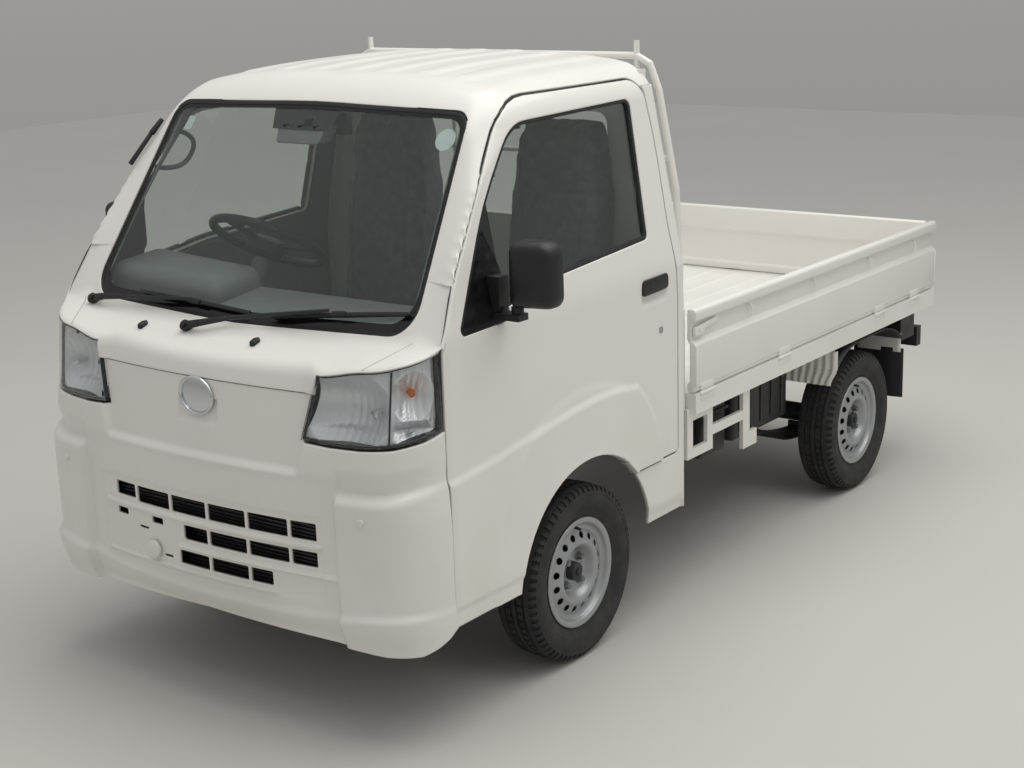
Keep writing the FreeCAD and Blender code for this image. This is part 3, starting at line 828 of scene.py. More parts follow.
# Finishes that differ only in name, colour and numbers: each maker's arguments follow it.
PLAIN_FINISHES = (
    # Black moulded polypropylene of mirrors, handles and grille backing: dull and grained.
    ("trim", "black_plastic", moulded, "black_grained_polypropylene", "plastic", 0.45, 0.25),
    # Black moulded ABS from a polished tool, for lamp bezels: a hard gloss.
    ("gloss_trim", "black_plastic", moulded, "black_polished_abs", "plastic", 0.28, 0.05),
    # Dark grey grained polypropylene of the dashboard and door linings.
    ("cabin", "black_plastic", moulded, "grey_grained_polypropylene", "cabin", 0.6, 0.25, 0.002),
    # Black EPDM rubber of window and door seals: dull, with a slight bloom. Its black also serves the strips of
    # painted shade behind the shut lines.
    ("seal", "black_plastic", moulded, "black_epdm_rubber", "rubber", 0.7, 0.1, 0.003),
    # Black ceramic frit baked on the glass: near black, smooth as the glass over it.
    ("frit", "black_plastic", moulded, "baked_ceramic_frit", "privacy", 0.12, 0.01),
    # Red and amber moulded acrylic over dark lamp chambers: deep, with a hard gloss.
    ("red_lens", "lamp", moulded, "red_acrylic", "red", 0.12, 0.02),
    ("amber_lens", "lamp", moulded, "amber_acrylic", "amber", 0.12, 0.02),
    # Clear moulded acrylic over a bright chamber: reads as a milky grey-white.
    ("clear_lens", "lamp", moulded, "clear_acrylic", "#CDD0D1", 0.12, 0.02),
    # Plain printed vinyl label stuck inside the glass: matt and pale blue.
    ("label", "glass", moulded, "pale_vinyl_label", "#E9F1F6", 0.5, 0.02),
    # Amber lacquer on a lamp bulb: a warm satin gloss.
    ("amber", "lamp", moulded, "amber_lacquered_bulb", "amber", 0.25, 0.03),
    # Black chassis paint over welded steel: satin and gritty.
    ("chassis", "chassis_black", sprayed, "black_chassis_paint", "chassis", 0.55, 0.0),
    # Sand-cast aluminium of the engine: dull grey with a coarse skin.
    ("cast", "cast_metal", sprayed, "sand_cast_aluminium", "#6E7072", 0.6, 0.7),
    # Aluminised steel of the exhaust: grey-brown from heat and road salt.
    ("exhaust", "exhaust_steel", sprayed, "aluminised_exhaust_steel", "#6B655E", 0.5, 0.8),
    # Green-grey tinted float glass, 4 to 5 mm thick.
    ("glass", "glass", clear, "tinted_float_glass", "glass", 1.45),
    # Clear moulded polycarbonate lamp cover.
    ("lens", "lamp", clear, "clear_polycarbonate", "#F4F6F7", 1.35),
)


def plain(row):
    """Register a row's finish: its colour is a hex value or one of the panel's colours."""
    key, slot, build, name, source, *numbers = row

    @finish(key, slot)
    def make(colours):
        return build(name, tint(source) if source[0] == "#" else getattr(colours, source), *numbers)


for row in PLAIN_FINISHES:
    plain(row)


# ---- frame pieces that keep their shape ----

# Finish: the frame's pieces that take it.
KEPT = {
    "paint": ("cab_rear_wall", "headboard", "guard_frame", "bed_floor", "bed_frame"),
    "cabin": ("cab_floor", "seat_base", "dashboard", "steering_column"),
    "glass": ("rear_window",),
    "trim": ("left_mirror_base", "right_mirror_base",
             "steering_wheel", "inside_mirror", "side_box"),
    "chassis": ("frame_rails", "rear_axle", "propeller_shaft", "fuel_tank", "front_suspension",
                "rear_bumper", "left_knuckle", "right_knuckle"),
    "cast": ("engine",),
    "exhaust": ("exhaust",),
}


class KEITRUCK_OT_frame_finishes(bpy.types.Operator):
    """Give the frame's own pieces their finishes"""
    bl_idname = "keitruck.frame_finishes"
    bl_label = "Frame Finishes"

    def execute(self, context):
        for name, nodes in KEPT.items():
            for node in nodes:
                mesh = frame["nodes"][node].data
                mesh.materials.clear()
                mesh.materials.append(material_of(name))
        return {"FINISHED"}


# ---- the nose: front bumper skin, recess, corner pods and grille openings ----

NOSE_FRONT = ((0.270, -1.6595), (0.350, -1.6945), (0.650, -1.6975), (0.735, -1.6975),
              (0.850, -1.6855), (1.180, -1.6455))
NOSE_HALF = ((0.650, 0.738), (0.735, 0.728))
NOSE_CORNER = 0.172
NOSE_BOW = 3.160
COWL_HEIGHT, COWL_FRONT, COWL_SLOPE = 1.012, -1.640, 0.47
HOOD_SEAM = 0.957
BUMPER_END_Y = -1.484
GRILLE_ROWS = ((0.560, 0.609, -0.356, 0.418), (0.486, 0.528, -0.066, 0.417),
               (0.410, 0.450, -0.090, 0.262))
GRILLE_BARS = (-0.264, -0.116, 0.032, 0.180, 0.328)
BAR_HALF = 0.005
# Slots of the number plate's holder: centre across and up, width and height.
PLATE_SLOTS = ((-0.336, 0.519, 0.050, 0.022), (-0.178, 0.519, 0.050, 0.022),
               (-0.241, 0.487, 0.044, 0.010), (-0.140, 0.421, 0.040, 0.010))


def front_at(z):
    """Front of the nose on the centre line, with the creases of its table softened."""
    return sum(along(NOSE_FRONT, z + step) for step in (-0.03, -0.015, 0, 0.015, 0.03)) / 5


def nose_plan(s, z):
    """Place and outward direction at an arc length s round the nose's plan."""
    half = along(NOSE_HALF, z)
    corner_x = half - NOSE_CORNER
    reach = NOSE_BOW - NOSE_CORNER
    tilt = math.asin(corner_x / reach)
    front = front_at(z)
    corner_y = front + NOSE_BOW - reach * math.cos(tilt)
    bow_run = NOSE_BOW * tilt
    corner_run = NOSE_CORNER * (math.pi / 2 - tilt)
    t = abs(s)
    if t < bow_run:
        turn = t / NOSE_BOW
        x, y = NOSE_BOW * math.sin(turn), front + NOSE_BOW * (1 - math.cos(turn))
    elif t < bow_run + corner_run:
        turn = tilt + (t - bow_run) / NOSE_CORNER
        x = corner_x + NOSE_CORNER * math.sin(turn)
        y = corner_y - NOSE_CORNER * math.cos(turn)
    else:
        turn = math.pi / 2
        x, y = half, corner_y + t - bow_run - corner_run
    sign = 1 if s >= 0 else -1
    return Vector((sign * x, y, z)), Vector((sign * math.sin(turn), -math.cos(turn), 0))


def nose_arc(y, z):
    """Arc length at which the nose's plan reaches a place back along its side."""
    low, high = 0.5, 1.0
    for _ in range(30):
        middle = (low + high) / 2
        if nose_plan(middle, z)[0].y < y:
            low = middle
        else:
            high = middle
    return low


def cowl_depth(s):
    """How far the hood's lip stands back from the nose at the height of its soft edge."""
    return 0.026 * smooth(0.44, 0.37, abs(s))


def nose_relief(s, z):
    """Outward height of the bumper's pressed forms over the plain nose."""
    body = settings("body")
    c = abs(s)
    recess_edge = 0.356 + 0.25 * (z - 0.75)
    height = -body.recess * smooth(0.736, 0.758, z) * smooth(recess_edge + 0.024, recess_edge, c)
    # The face between the pods stands back from them.
    height -= 0.007 * band(0.300, 0.715, 0.040, z) * smooth(0.500, 0.482, c)
    # Corner pods: the face above rolls in to a valley, then a ledge slopes out to the pod.
    rise = z - 0.026 * smooth(0.60, 0.80, c)
    flush = 1 - 0.85 * smooth(0.66, 0.81, c)
    pod_side = smooth(0.484, 0.498, c) * flush
    valley = -0.016 * smooth(0.775, 0.722, rise) * smooth(0.690, 0.712, rise)
    height += pod_side * (valley + (body.pod - 0.002) * smooth(0.712, 0.676, rise))
    # Lower lip, standing out below its ledge.
    ledge = 0.357 + 0.032 * smooth(0.30, 0.72, c) + 0.012 * smooth(0.05, -0.5, s)
    lip = (0.010 + 0.004 * smooth(0.46, 0.52, c)) * flush
    height += lip * smooth(ledge + 0.006, ledge - 0.016, z)
    # Rails that carry the grille's bars and the number plate.
    height += 0.010 * band(0.541, 0.547, 0.005, z) * band(-0.405, 0.425, 0.014, s)
    height += 0.010 * band(0.461, 0.467, 0.005, z) * band(-0.085, 0.478, 0.014, s)
    height += 0.006 * band(0.391, 0.396, 0.005, z) * band(-0.400, 0.270, 0.014, s)
    height -= 0.004 * band(0.400, 0.624, 0.005, z) * band(-0.420, 0.436, 0.008, s)
    # Finger pad below the badge place.
    height -= 0.007 * band(0.842, 0.900, 0.006, z) * band(-0.062, 0.072, 0.008, s)
    return height


def nose_skin(s, z):
    place, outward = nose_plan(s, z)
    return place + outward * nose_relief(s, z)


def lamp_outline(side=1, grow=0.0):
    """A headlamp's outline in arc length and height, following the hood's edge on top."""
    top = []
    end = nose_arc(BUMPER_END_Y, 1.08)
    for step in range(13):
        s = 0.424 + (end - 0.424) * step / 12
        top.append(Vector((s, cowl_edge(s) - 0.004)))
    rear = [Vector((nose_arc(BUMPER_END_Y, z), z)) for z in (1.02, 0.95, 0.90, 0.868)]
    bottom = [Vector((rear[-1].x - 0.06, 0.853)), Vector((0.66, 0.838)),
              Vector((0.56, 0.831)), Vector((0.47, 0.831)), Vector((0.382, 0.837))]
    outline = [Vector((point.x * side, point.y)) for point in top + rear + bottom]
    return grown(outline, grow)


def cowl_edge(s):
    """Height at which the hood's slope would meet the nose."""
    z = 1.03
    for _ in range(8):
        y = nose_plan(s, z)[0].y + cowl_depth(s)
        z = COWL_HEIGHT + COWL_SLOPE * (y - COWL_FRONT)
    lift = 0.010 * band(0.56, 0.64, 0.12, abs(s))
    return z + lift


def bumper_foot(s):
    """Height of the bumper's lower edge."""
    return along(((0.0, 0.292), (0.45, 0.276), (0.60, 0.264), (0.70, 0.268), (0.77, 0.292),
                  (0.83, 0.330)), abs(s))


class KEITRUCK_OT_bumper(bpy.types.Operator):
    """Make the front bumper skin with its recess, corner pods and grille openings"""
    bl_idname = "keitruck.bumper"
    bl_label = "Front Bumper"

    def execute(self, context):
        body = settings("body")
        radius = body.edge_roll
        end = nose_arc(BUMPER_END_Y, 0.6) - radius
        bm = sheet(290, 118, (-end - 0.03, end + 0.03), (0.25, HOOD_SEAM + 0.01))
        edge = [Vector((-end + 2 * end * step / 40, 0)) for step in range(41)]
        foot = [Vector((point.x, bumper_foot(point.x) + radius)) for point in edge]
        seam = HOOD_SEAM - radius - 0.001
        lower = lamp_outline(1, 0.006 + radius)[-6:]
        inner = Vector((lower[-1].x + (seam - lower[-1].y) * 0.247, seam))
        sides = [Vector((nose_arc(BUMPER_END_Y, z) - radius, z)) for z in (0.45, 0.60, 0.70, 0.80)]
        right = sides + [Vector((nose_arc(BUMPER_END_Y, 0.86) - radius, lower[0].y))]
        right += lower[1:] + [inner]
        left = [Vector((-point.x, point.y)) for point in reversed(right)]
        punch(bm, foot + right + left, keep=True)
        for low, high, start, stop in GRILLE_ROWS:
            bars = [bar for bar in GRILLE_BARS if start < bar < stop]
            firsts = [start] + [bar + BAR_HALF for bar in bars]
            lasts = [bar - BAR_HALF for bar in bars] + [stop]
            for first, last in zip(firsts, lasts):
                base = low + 0.008 if first < -0.30 else low
                punch(bm, grown(oblong((first, base), (last, high), 0.004), 0.0015))
        for x, z, wide, tall in PLATE_SLOTS:
            low, high = (x - wide / 2, z - tall / 2), (x + wide / 2, z + tall / 2)
            punch(bm, oblong(low, high, 0.003))
        mapped(bm, nose_skin)
        bmesh.ops.recalc_face_normals(bm, faces=bm.faces)
        outwards(bm, Vector((0, -1, 0)))
        within = lambda point: abs(point.x) < 0.44 and 0.39 < point.z < 0.63
        rim = [edge for edge in bm.edges if edge.is_boundary]
        roll(bm, 0.0015, 0.007, [edge for edge in rim if within(edge.verts[0].co)], 2)
        roll(bm, radius, body.flange, [edge for edge in rim if not within(edge.verts[0].co)])
        panel("front_bumper_skin", bm, None, "paint", stands_for=("front_bumper",),
              wall=body.sheet)
        self.fittings()
        return {"FINISHED"}

    def fittings(self):
        """Grille backing, beam, plain badge, parking sensors and the plate's boss."""
        back = [slab((-0.45, -1.640, 0.385), (0.45, -1.628, 0.635), 0.002)]
        for index in range(22):
            z = 0.396 + index * 0.0105
            back.append(slab((-0.44, -1.648, z), (0.44, -1.640, z + 0.004), 0.0))
        piece("radiator_screen", merged(back), "trim")
        beam = slab((-0.40, -1.652, 0.520), (0.40, -1.630, 0.548), 0.004)
        piece("bumper_beam", beam, "chassis")
        seat, facing = nose_plan(0.004, 0.908)
        seat = seat - facing * (settings("body").recess - 0.001)
        disc = ball((0.060, 0.0075, 0.050), seat, 64, 24)
        ring = bmesh.new()
        bmesh.ops.create_circle(ring, segments=12, radius=0.0055)
        move(ring, (0.061, 0, 0))
        bmesh.ops.rotate(ring, matrix=Matrix.Rotation(math.pi / 2, 3, "X"), verts=ring.verts,
                         cent=(0.061, 0, 0))
        bmesh.ops.spin(ring, geom=ring.verts[:] + ring.edges[:], cent=(0, 0, 0), axis=(0, 0, 1),
                       angle=math.tau, steps=64, use_merge=True)
        bmesh.ops.rotate(ring, matrix=Matrix.Rotation(math.pi / 2, 3, "X"), verts=ring.verts)
        bmesh.ops.scale(ring, vec=(1, 1, 0.84), verts=ring.verts)
        move(ring, seat - Vector((0, 0.004, 0)))
        bmesh.ops.recalc_face_normals(ring, faces=ring.faces)
        piece("plain_badge", merged([disc, ring]), "bright")
        eyes = []
        for side in (-1, 1):
            place, facing = nose_plan(side * 0.575, 0.640)
            place = place + facing * (settings("body").pod + 0.001)
            eyes.append(drum(place - facing * 0.006, facing, 0.0115, 0.0085, 32, 0.002))
        piece("parking_sensors", merged(eyes), "paint")
        place, facing = nose_plan(-0.190, 0.434)
        piece("plate_boss", drum(place - facing * 0.006, facing, 0.026, 0.012, 48, 0.003), "paint")


# ---- the hood: lip, soft edge, cowl slope and pillar roots ----

SCREEN_FOOT, SCREEN_FOOT_HEIGHT, SCREEN_RAKE = -1.500, 1.080, 0.658
SCREEN_BOW = 14.0
BELT, SIDE_LEAN, HALF_WIDTH = 1.100, 0.2, 0.728
# The door's front gap in (y, z), from the belt up the pillar.
DOOR_FRONT_LINE = ((-1.4780, 1.085), (-1.4220, 1.200), (-1.3640, 1.280), (-1.2960, 1.365),
                   (-1.2260, 1.454), (-1.1610, 1.524), (-1.0940, 1.598))


def side_x(z):
    """Half width of the cab at a height."""
    return HALF_WIDTH - SIDE_LEAN * max(0.0, z - BELT)


def gap_y(z):
    """Place along the truck of the door's front gap at a height."""
    return along([(height, y) for y, height in DOOR_FRONT_LINE], z) - 0.004


def glass_half(z):
    """Half width of the windscreen's opening at a height."""
    return along(((1.10, 0.622), (1.642, 0.560)), z)


def screen_plan(a, z):
    """Place on the raked front of the greenhouse, at a share of its half width from -1 to 1."""
    half = side_x(z) - 0.002
    x = abs(a) * half
    edge = glass_half(z)
    y = SCREEN_FOOT + SCREEN_RAKE * (z - SCREEN_FOOT_HEIGHT)
    if x <= edge:
        y += x * x / (2 * SCREEN_BOW)
    else:
        start = y + edge * edge / (2 * SCREEN_BOW)
        share = (x - edge) / (half - edge)
        y = start + (gap_y(z) - start) * share ** 1.8
    return Vector((x if a >= 0 else -x, y, z))


def screen_root(a):
    """Where the cowl's slope meets the greenhouse."""
    z = 1.09
    for _ in range(8):
        z = COWL_HEIGHT + COWL_SLOPE * (screen_plan(a, z).y - COWL_FRONT)
    return screen_plan(a, z)


def lengths(points):
    """Length of each run of a line through points."""
    return [(after - before).length for before, after in zip(points, points[1:])]


def bend(points, radii, share):
    """Point at a share of a line through points, whose inner corners are rounded by radii."""
    runs = lengths(points)
    want = share * sum(runs)
    marks = [0.0]
    for run in runs:
        marks.append(marks[-1] + run)
    for index in range(1, len(points) - 1):
        reach = min(radii[index - 1], runs[index - 1] * 0.49, runs[index] * 0.49)
        offset = want - marks[index]
        if abs(offset) < reach:
            before = points[index] + (points[index - 1] - points[index]).normalized() * reach
            after = points[index] + (points[index + 1] - points[index]).normalized() * reach
            t = (offset + reach) / (2 * reach)
            return before * (1 - t) ** 2 + points[index] * 2 * t * (1 - t) + after * t * t
    for index, run in enumerate(runs):
        if want <= marks[index + 1] + 1e-9:
            return points[index].lerp(points[index + 1], (want - marks[index]) / run)
    return points[-1]


HOOD_TOP = 1.300
PILLAR_SEAM = 1.228


def hood_line(a):
    """Corners of the hood's profile at a share across: lip, soft edge, glass foot and crown."""
    s = a * nose_arc(BUMPER_END_Y, 1.08)
    lip, outward = nose_plan(s, HOOD_SEAM + 0.004)
    lip = lip - outward * (0.016 * smooth(0.44, 0.37, abs(s)))
    edge, outward = nose_plan(s, cowl_edge(s))
    return [lip, edge - outward * cowl_depth(s), screen_root(a), screen_plan(a, HOOD_TOP)]


def hood_skin(a, t):
    """The hood at a share across from -1 to 1 and a share from its lip to above the glass foot."""
    soft = 0.050 - 0.030 * smooth(0.40, 0.62, abs(a))
    return bend(hood_line(a), [soft, 0.020 + 0.05 * smooth(0.80, 0.95, abs(a))], t)


class KEITRUCK_OT_hood(bpy.types.Operator):
    """Make the hood and the two corner pieces that run up into the pillars"""
    bl_idname = "keitruck.hood"
    bl_label = "Hood"

    def execute(self, context):
        body = settings("body")
        radius = 0.002
        bm = sheet(260, 100, (-1, 1), (0, 1))
        end = nose_arc(BUMPER_END_Y, 1.08)
        for side in (1, -1):
            notch = [Vector((side * 0.411 / end, -0.1))]
            for step in range(25):
                a = (0.424 / end) * (1 - step / 24) + step / 24
                runs = lengths(hood_line(a))
                notch.append(Vector((side * a, (runs[0] + 0.001) / sum(runs))))
            notch += [Vector((side * 1.1, notch[-1].y)), Vector((side * 1.1, -0.1))]
            punch(bm, notch)
        mapped(bm, hood_skin)
        punch(bm, glass_opening(radius), 1, region=lambda centre: centre.y > -1.56)
        punch(bm, oblong((-0.9, PILLAR_SEAM), (0.9, 1.5)), 1)
        panel("hood_skin", bm, (0, -0.5, 1), "paint", stands_for=("front_panel",),
              edge=(radius, body.flange * 0.6), wall=body.sheet)
        return {"FINISHED"}


# ---- headlamps ----

LAMP_DIVIDER = 0.648


def behind_nose(depth):
    """Surface a depth behind the plain nose, for parts drawn in (arc length, height)."""
    def surface(s, z):
        place, outward = nose_plan(s, z)
        return place - outward * depth
    return surface


def lamp_sheet(side, inset, columns=46, rows=26):
    """A flat sheet in (arc length, height), cut to the lamp's outline drawn in."""
    bm = sheet(columns, rows, sorted((side * 0.36, side * 0.84)), (0.80, 1.12))
    return punch(bm, lamp_outline(side, -inset), keep=True)


class KEITRUCK_OT_headlamps(bpy.types.Operator):
    """Make the headlamps: lens, bezel, two reflector bowls, divider and bulbs"""
    bl_idname = "keitruck.headlamps"
    bl_label = "Headlamps"

    def execute(self, context):
        for name, side in SIDES:
            self.housing(side, name)
            self.bulbs(side, name)
        return {"FINISHED"}

    def housing(self, side, name):
        """Lens, the dark rim just inside it, and the bright bowls deeper in."""
        facing = (side * 0.5, -1, 0)
        lens = mapped(lamp_sheet(side, 0.003), behind_nose(0.004))
        bmesh.ops.recalc_face_normals(lens, faces=lens.faces)
        panel(f"{name}_headlamp_lens", lens, facing, "lens", stands_for=(f"{name}_headlamp",),
              edge=(0.003, 0.012), wall=0.0025)
        ring = punch(lamp_sheet(side, 0.003), lamp_outline(side, -0.0072))
        mapped(ring, behind_nose(0.0085))
        panel(f"{name}_headlamp_bezel", ring, facing, "gloss_trim", edge=(0.0, 0.013))

        def hollow(s, z):
            """Main bowl inboard of the divider, stepped turn-lamp chamber outboard."""
            c = abs(s)
            place, outward = nose_plan(s, z)
            if c < LAMP_DIVIDER:
                u = (c - 0.520) / 0.115
                v = (z - 0.918) / 0.085
                depth = 0.085 - 0.055 * min(1.3, u * u * 0.8 + v * v * 0.75)
            else:
                u = (c - 0.715) / 0.062
                v = (z - 0.962) / 0.060
                upper = 0.070 - 0.034 * min(1.2, u * u + v * v)
                w = (z - 0.872) / 0.030
                lower = 0.058 - 0.022 * min(1.2, (u * u + w * w))
                depth = upper if z > 0.900 else lower
            # Moulded facets run up the bowl, and a ledge crosses it low down.
            depth -= 0.0035 * abs((c / 0.024) % 1.0 - 0.5) + 0.008 * smooth(0.872, 0.866, z)
            depth = max(0.017, depth)
            wall = smooth(0.010, 0.002, abs(c - LAMP_DIVIDER))
            return place - outward * (depth * (1 - wall) + 0.018 * wall)

        bowl = mapped(lamp_sheet(side, 0.007, 170, 70), hollow)
        panel(f"{name}_headlamp_reflector", bowl, facing, "reflector", edge=(0.0, 0.02))
        post = sheet(2, 20, sorted(side * (LAMP_DIVIDER + half) for half in (-0.0022, 0.0022)),
                     (0.842, cowl_edge(LAMP_DIVIDER) - 0.014))
        mapped(post, behind_nose(0.010))
        panel(f"{name}_headlamp_divider", post, facing, "gloss_trim", edge=(0.0, 0.010))

    def bulbs(self, side, name):
        place, outward = nose_plan(side * 0.598, 0.918)
        aim = (outward + Vector((-side * 0.35, 0, 0))).normalized()
        glow = drum(place - outward * 0.066, aim, 0.009, 0.034, 24, 0.003)
        cap = drum(place - outward * 0.040, aim, 0.012, 0.010, 24, 0.003)
        piece(f"{name}_headlamp_bulb", merged([glow, cap]), "bright")
        place, outward = nose_plan(side * 0.715, 0.968)
        glow = ball((0.010, 0.010, 0.0115), place - outward * 0.050, 24, 16)
        cap = drum(place - outward * 0.072, outward, 0.009, 0.016, 24, 0.002)
        piece(f"{name}_turn_bulb", merged([glow, cap]), "amber")
        place, outward = nose_plan(side * 0.715, 0.876)
        piece(f"{name}_side_bulb", drum(place - outward * 0.048, outward, 0.007, 0.020, 20, 0.004),
              "bright")


# ---- the greenhouse: pillars, header and roof as one rounded shell ----

ROOF_TOP = ((-1.20, 1.700), (-1.00, 1.728), (-0.80, 1.741), (-0.56, 1.746), (-0.262, 1.746))
CAB_REAR = -0.262
ROOF_SEAM = 1.650
RIB_PLACES = (-0.42, -0.28, -0.14, 0.0, 0.14, 0.28, 0.42)
# The door's outline in (y, z, corner radius).
DOOR_OUTLINE = ((-1.478, 0.320, 0.008), (-1.478, 1.080, 0.050), (-1.416, 1.200, 0.8),
                (-1.172, 1.506, 0.8), (-1.020, 1.671, 0.26), (-0.338, 1.671, 0.060),
                (-0.322, 1.480, 0.9), (-0.332, 1.230, 0.0), (-0.318, 1.000, 0.0),
                (-0.318, 0.510, 0.015), (-0.560, 0.510, 0.0), (-0.900, 0.320, 0.0))
GLASS_OUTLINE = ((-1.414, 1.096, 0.018), (-1.215, 1.410, 0.9), (-1.028, 1.606, 0.170),
                 (-0.417, 1.619, 0.026), (-0.453, 1.206, 0.020), (-0.927, 1.177, 0.6),
                 (-1.180, 1.138, 0.0), (-1.192, 1.102, 0.008))
ARCH_Y, ARCH_Z, ARCH_RADIUS = -0.835, 0.268, 0.355


def meet(a, b, radius):
    """Signed distance to where two solids overlap, their shared edge rounded."""
    first, second = max(radius + a, 0.0), max(radius + b, 0.0)
    return min(-radius, max(a, b)) + math.hypot(first, second)


def greenhouse(point):
    """Signed distance to the cab above its belt, negative inside."""
    x, y, z = point
    slope = math.hypot(1, SCREEN_RAKE)
    across = min(1.0, abs(x) / (side_x(z) - 0.002))
    screen = (screen_plan(across, z).y - y) / slope
    side = (abs(x) - side_x(z)) / math.hypot(1, SIDE_LEAN)
    crown = sum(along(ROOF_TOP, y + step) for step in (-0.06, -0.03, 0, 0.03, 0.06)) / 5
    rib = max((band(place - 0.020, place + 0.020, 0.018, x) for place in RIB_PLACES), default=0)
    rib *= band(-0.93, -0.34, 0.05, y)
    top = z - crown + 0.045 * (x / 0.60) ** 2 * abs(x / 0.60) - 0.005 * rib
    rear = y - CAB_REAR
    pillar = 0.010 + 0.070 * smooth(1.42, 1.68, z)
    shape = meet(screen, side, pillar)
    shape = meet(shape, top, 0.085)
    return meet(shape, rear, 0.028)


def shell_point(centre, way):
    """Where a ray from inside the cab leaves it."""
    low, high = 0.2, 1.6
    below, above = greenhouse(centre + way * low), greenhouse(centre + way * high)
    for _ in range(9):
        middle = low + (high - low) * below / (below - above)
        value = greenhouse(centre + way * middle)
        if abs(value) < 1e-5:
            return centre + way * middle
        if value < 0:
            low, below = middle, value
            above *= 0.6
        else:
            high, above = middle, value
            below *= 0.6
    return centre + way * middle


def glass_opening(grow=0.0):
    corners = [(-0.622, 1.099, 0.075), (0, 1.080, 3.0), (0.622, 1.099, 0.075),
               (0.560, 1.642, 0.055), (0, 1.656, 4.0), (-0.560, 1.642, 0.055)]
    return grown(rounded(corners), grow)


def door_outline(grow=0.0):
    return grown(rounded(DOOR_OUTLINE), grow)


def arch_outline(grow=0.0):
    radius = ARCH_RADIUS + grow
    turns = [math.tau * step / 72 for step in range(72)]
    return [Vector((ARCH_Y + radius * math.cos(t), ARCH_Z + radius * math.sin(t))) for t in turns]


class KEITRUCK_OT_greenhouse(bpy.types.Operator):
    """Make the windscreen pillars, header and ribbed roof as one shell"""
    bl_idname = "keitruck.greenhouse"
    bl_label = "Roof and Pillars"

    def execute(self, context):
        body = settings("body")
        radius = 0.002
        bm = bmesh.new()
        bmesh.ops.create_cube(bm, size=2)
        bmesh.ops.subdivide_edges(bm, edges=bm.edges[:], cuts=95, use_grid_fill=True)
        centre = Vector((0, -0.74, 1.36))
        low = [face for face in bm.faces
               if face.calc_center_median().z < -0.99 or face.calc_center_median().y > 0.99]
        bmesh.ops.delete(bm, geom=low, context="FACES")
        for vert in bm.verts:
            x, y, z = vert.co
            way = Vector((0.62 * math.tan(x * 0.82), 0.52 * math.tan(y * 0.82),
                          0.36 * math.tan(z * 0.82))).normalized()
            vert.co = shell_point(centre, way)
        punch(bm, glass_opening(radius), 1, region=lambda c: c.y < -0.95)
        for side in (1, -1):
            # The door takes nothing of the pillar further in than a narrow strip of its front.
            strip = 0.007
            cut(bm, (side * (HALF_WIDTH - strip), 0, BELT), (side, 0, SIDE_LEAN))

            def near(centre, side=side, strip=strip):
                behind = centre.y > -1.20 and centre.z < 1.7
                return centre.x * side > side_x(centre.z) - strip or behind

            punch(bm, door_outline(body.shut_line + radius), 0, region=near)
        punch(bm, oblong((-3.0, 0.2), (-0.7, PILLAR_SEAM + 0.003)), 0)
        punch(bm, oblong((-0.7, 0.2), (0.2, ROOF_SEAM)), 0)
        panel("roof_shell", bm, (0, -0.4, 1), "paint", stands_for=("cab_roof",),
              edge=(radius, body.flange * 0.7), wall=body.sheet)
        return {"FINISHED"}


class KEITRUCK_OT_sides(bpy.types.Operator):
    """Make the side panels behind the doors, from the wheel arch up the rear pillar"""
    bl_idname = "keitruck.sides"
    bl_label = "Cab Sides"

    def execute(self, context):
        body = settings("body")
        radius = 0.002

        def skin(w, z):
            """Round the cab's rear corner: w runs along the side, then in across the rear."""
            x = side_x(z)
            corner = 0.028
            over = w - (CAB_REAR - corner)
            if over <= 0:
                place = Vector((x, w, z))
            elif over < corner * math.pi / 2:
                turn = over / corner
                place = Vector((x - corner + corner * math.cos(turn),
                                CAB_REAR - corner + corner * math.sin(turn), z))
            else:
                place = Vector((x - corner - (over - corner * math.pi / 2), CAB_REAR, z))
            place.x -= 0.010 * smooth(0.372, 0.318, z) * (over < 0)
            return place

        bm = sheet(76, 190, (-0.640, -0.100), (0.316, ROOF_SEAM - 0.004))
        punch(bm, arch_outline(radius))
        punch(bm, door_outline(body.shut_line + radius))
        mapped(bm, skin)
        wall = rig.box("cab_rear_wall")[1][0]
        cut(bm, (wall + radius, 0, 0), (1, 0, 0), clear_inner=True)
        bmesh.ops.recalc_face_normals(bm, faces=bm.faces)
        panel("{side}_side_panel", bm, (1, 0, 0), "paint", stands_for=("{side}_cab_side",),
              edge=(radius, body.flange * 0.8), wall=body.sheet)
        return {"FINISHED"}


# ---- doors ----

FLARE_LINE = ((-1.60, 0.722), (-1.441, 0.731), (-1.264, 0.747), (-1.100, 0.770), (-0.977, 0.785),
              (-0.876, 0.796), (-0.771, 0.802), (-0.663, 0.798), (-0.552, 0.782),
              (-0.496, 0.718), (-0.450, 0.644), (-0.427, 0.574), (-0.400, 0.480))
HANDLE_LOW, HANDLE_HIGH = (-0.522, 1.040), (-0.378, 1.094)


def crease_depth(y, z):
    """Distance inside the flare's crease, negative above it."""
    best, sign = 1.0, -1
    point = Vector((y, z))
    for (ya, za), (yb, zb) in zip(FLARE_LINE, FLARE_LINE[1:]):
        a, b = Vector((ya, za)), Vector((yb, zb))
        run = b - a
        t = max(0.0, min(1.0, (point - a).dot(run) / run.length_squared))
        gap = (a + run * t - point).length
        if gap < best:
            best = gap
            sign = -1 if run.cross(point - a) > 0 else 1
    return best * sign


def shell_x(y, z):
    """How far out the rounded greenhouse stands, looked for a little way in from the side."""
    high = side_x(z)
    low = high - 0.045
    for _ in range(10):
        middle = (low + high) / 2
        if greenhouse((middle, y, z)) < 0:
            low = middle
        else:
            high = middle
    return high


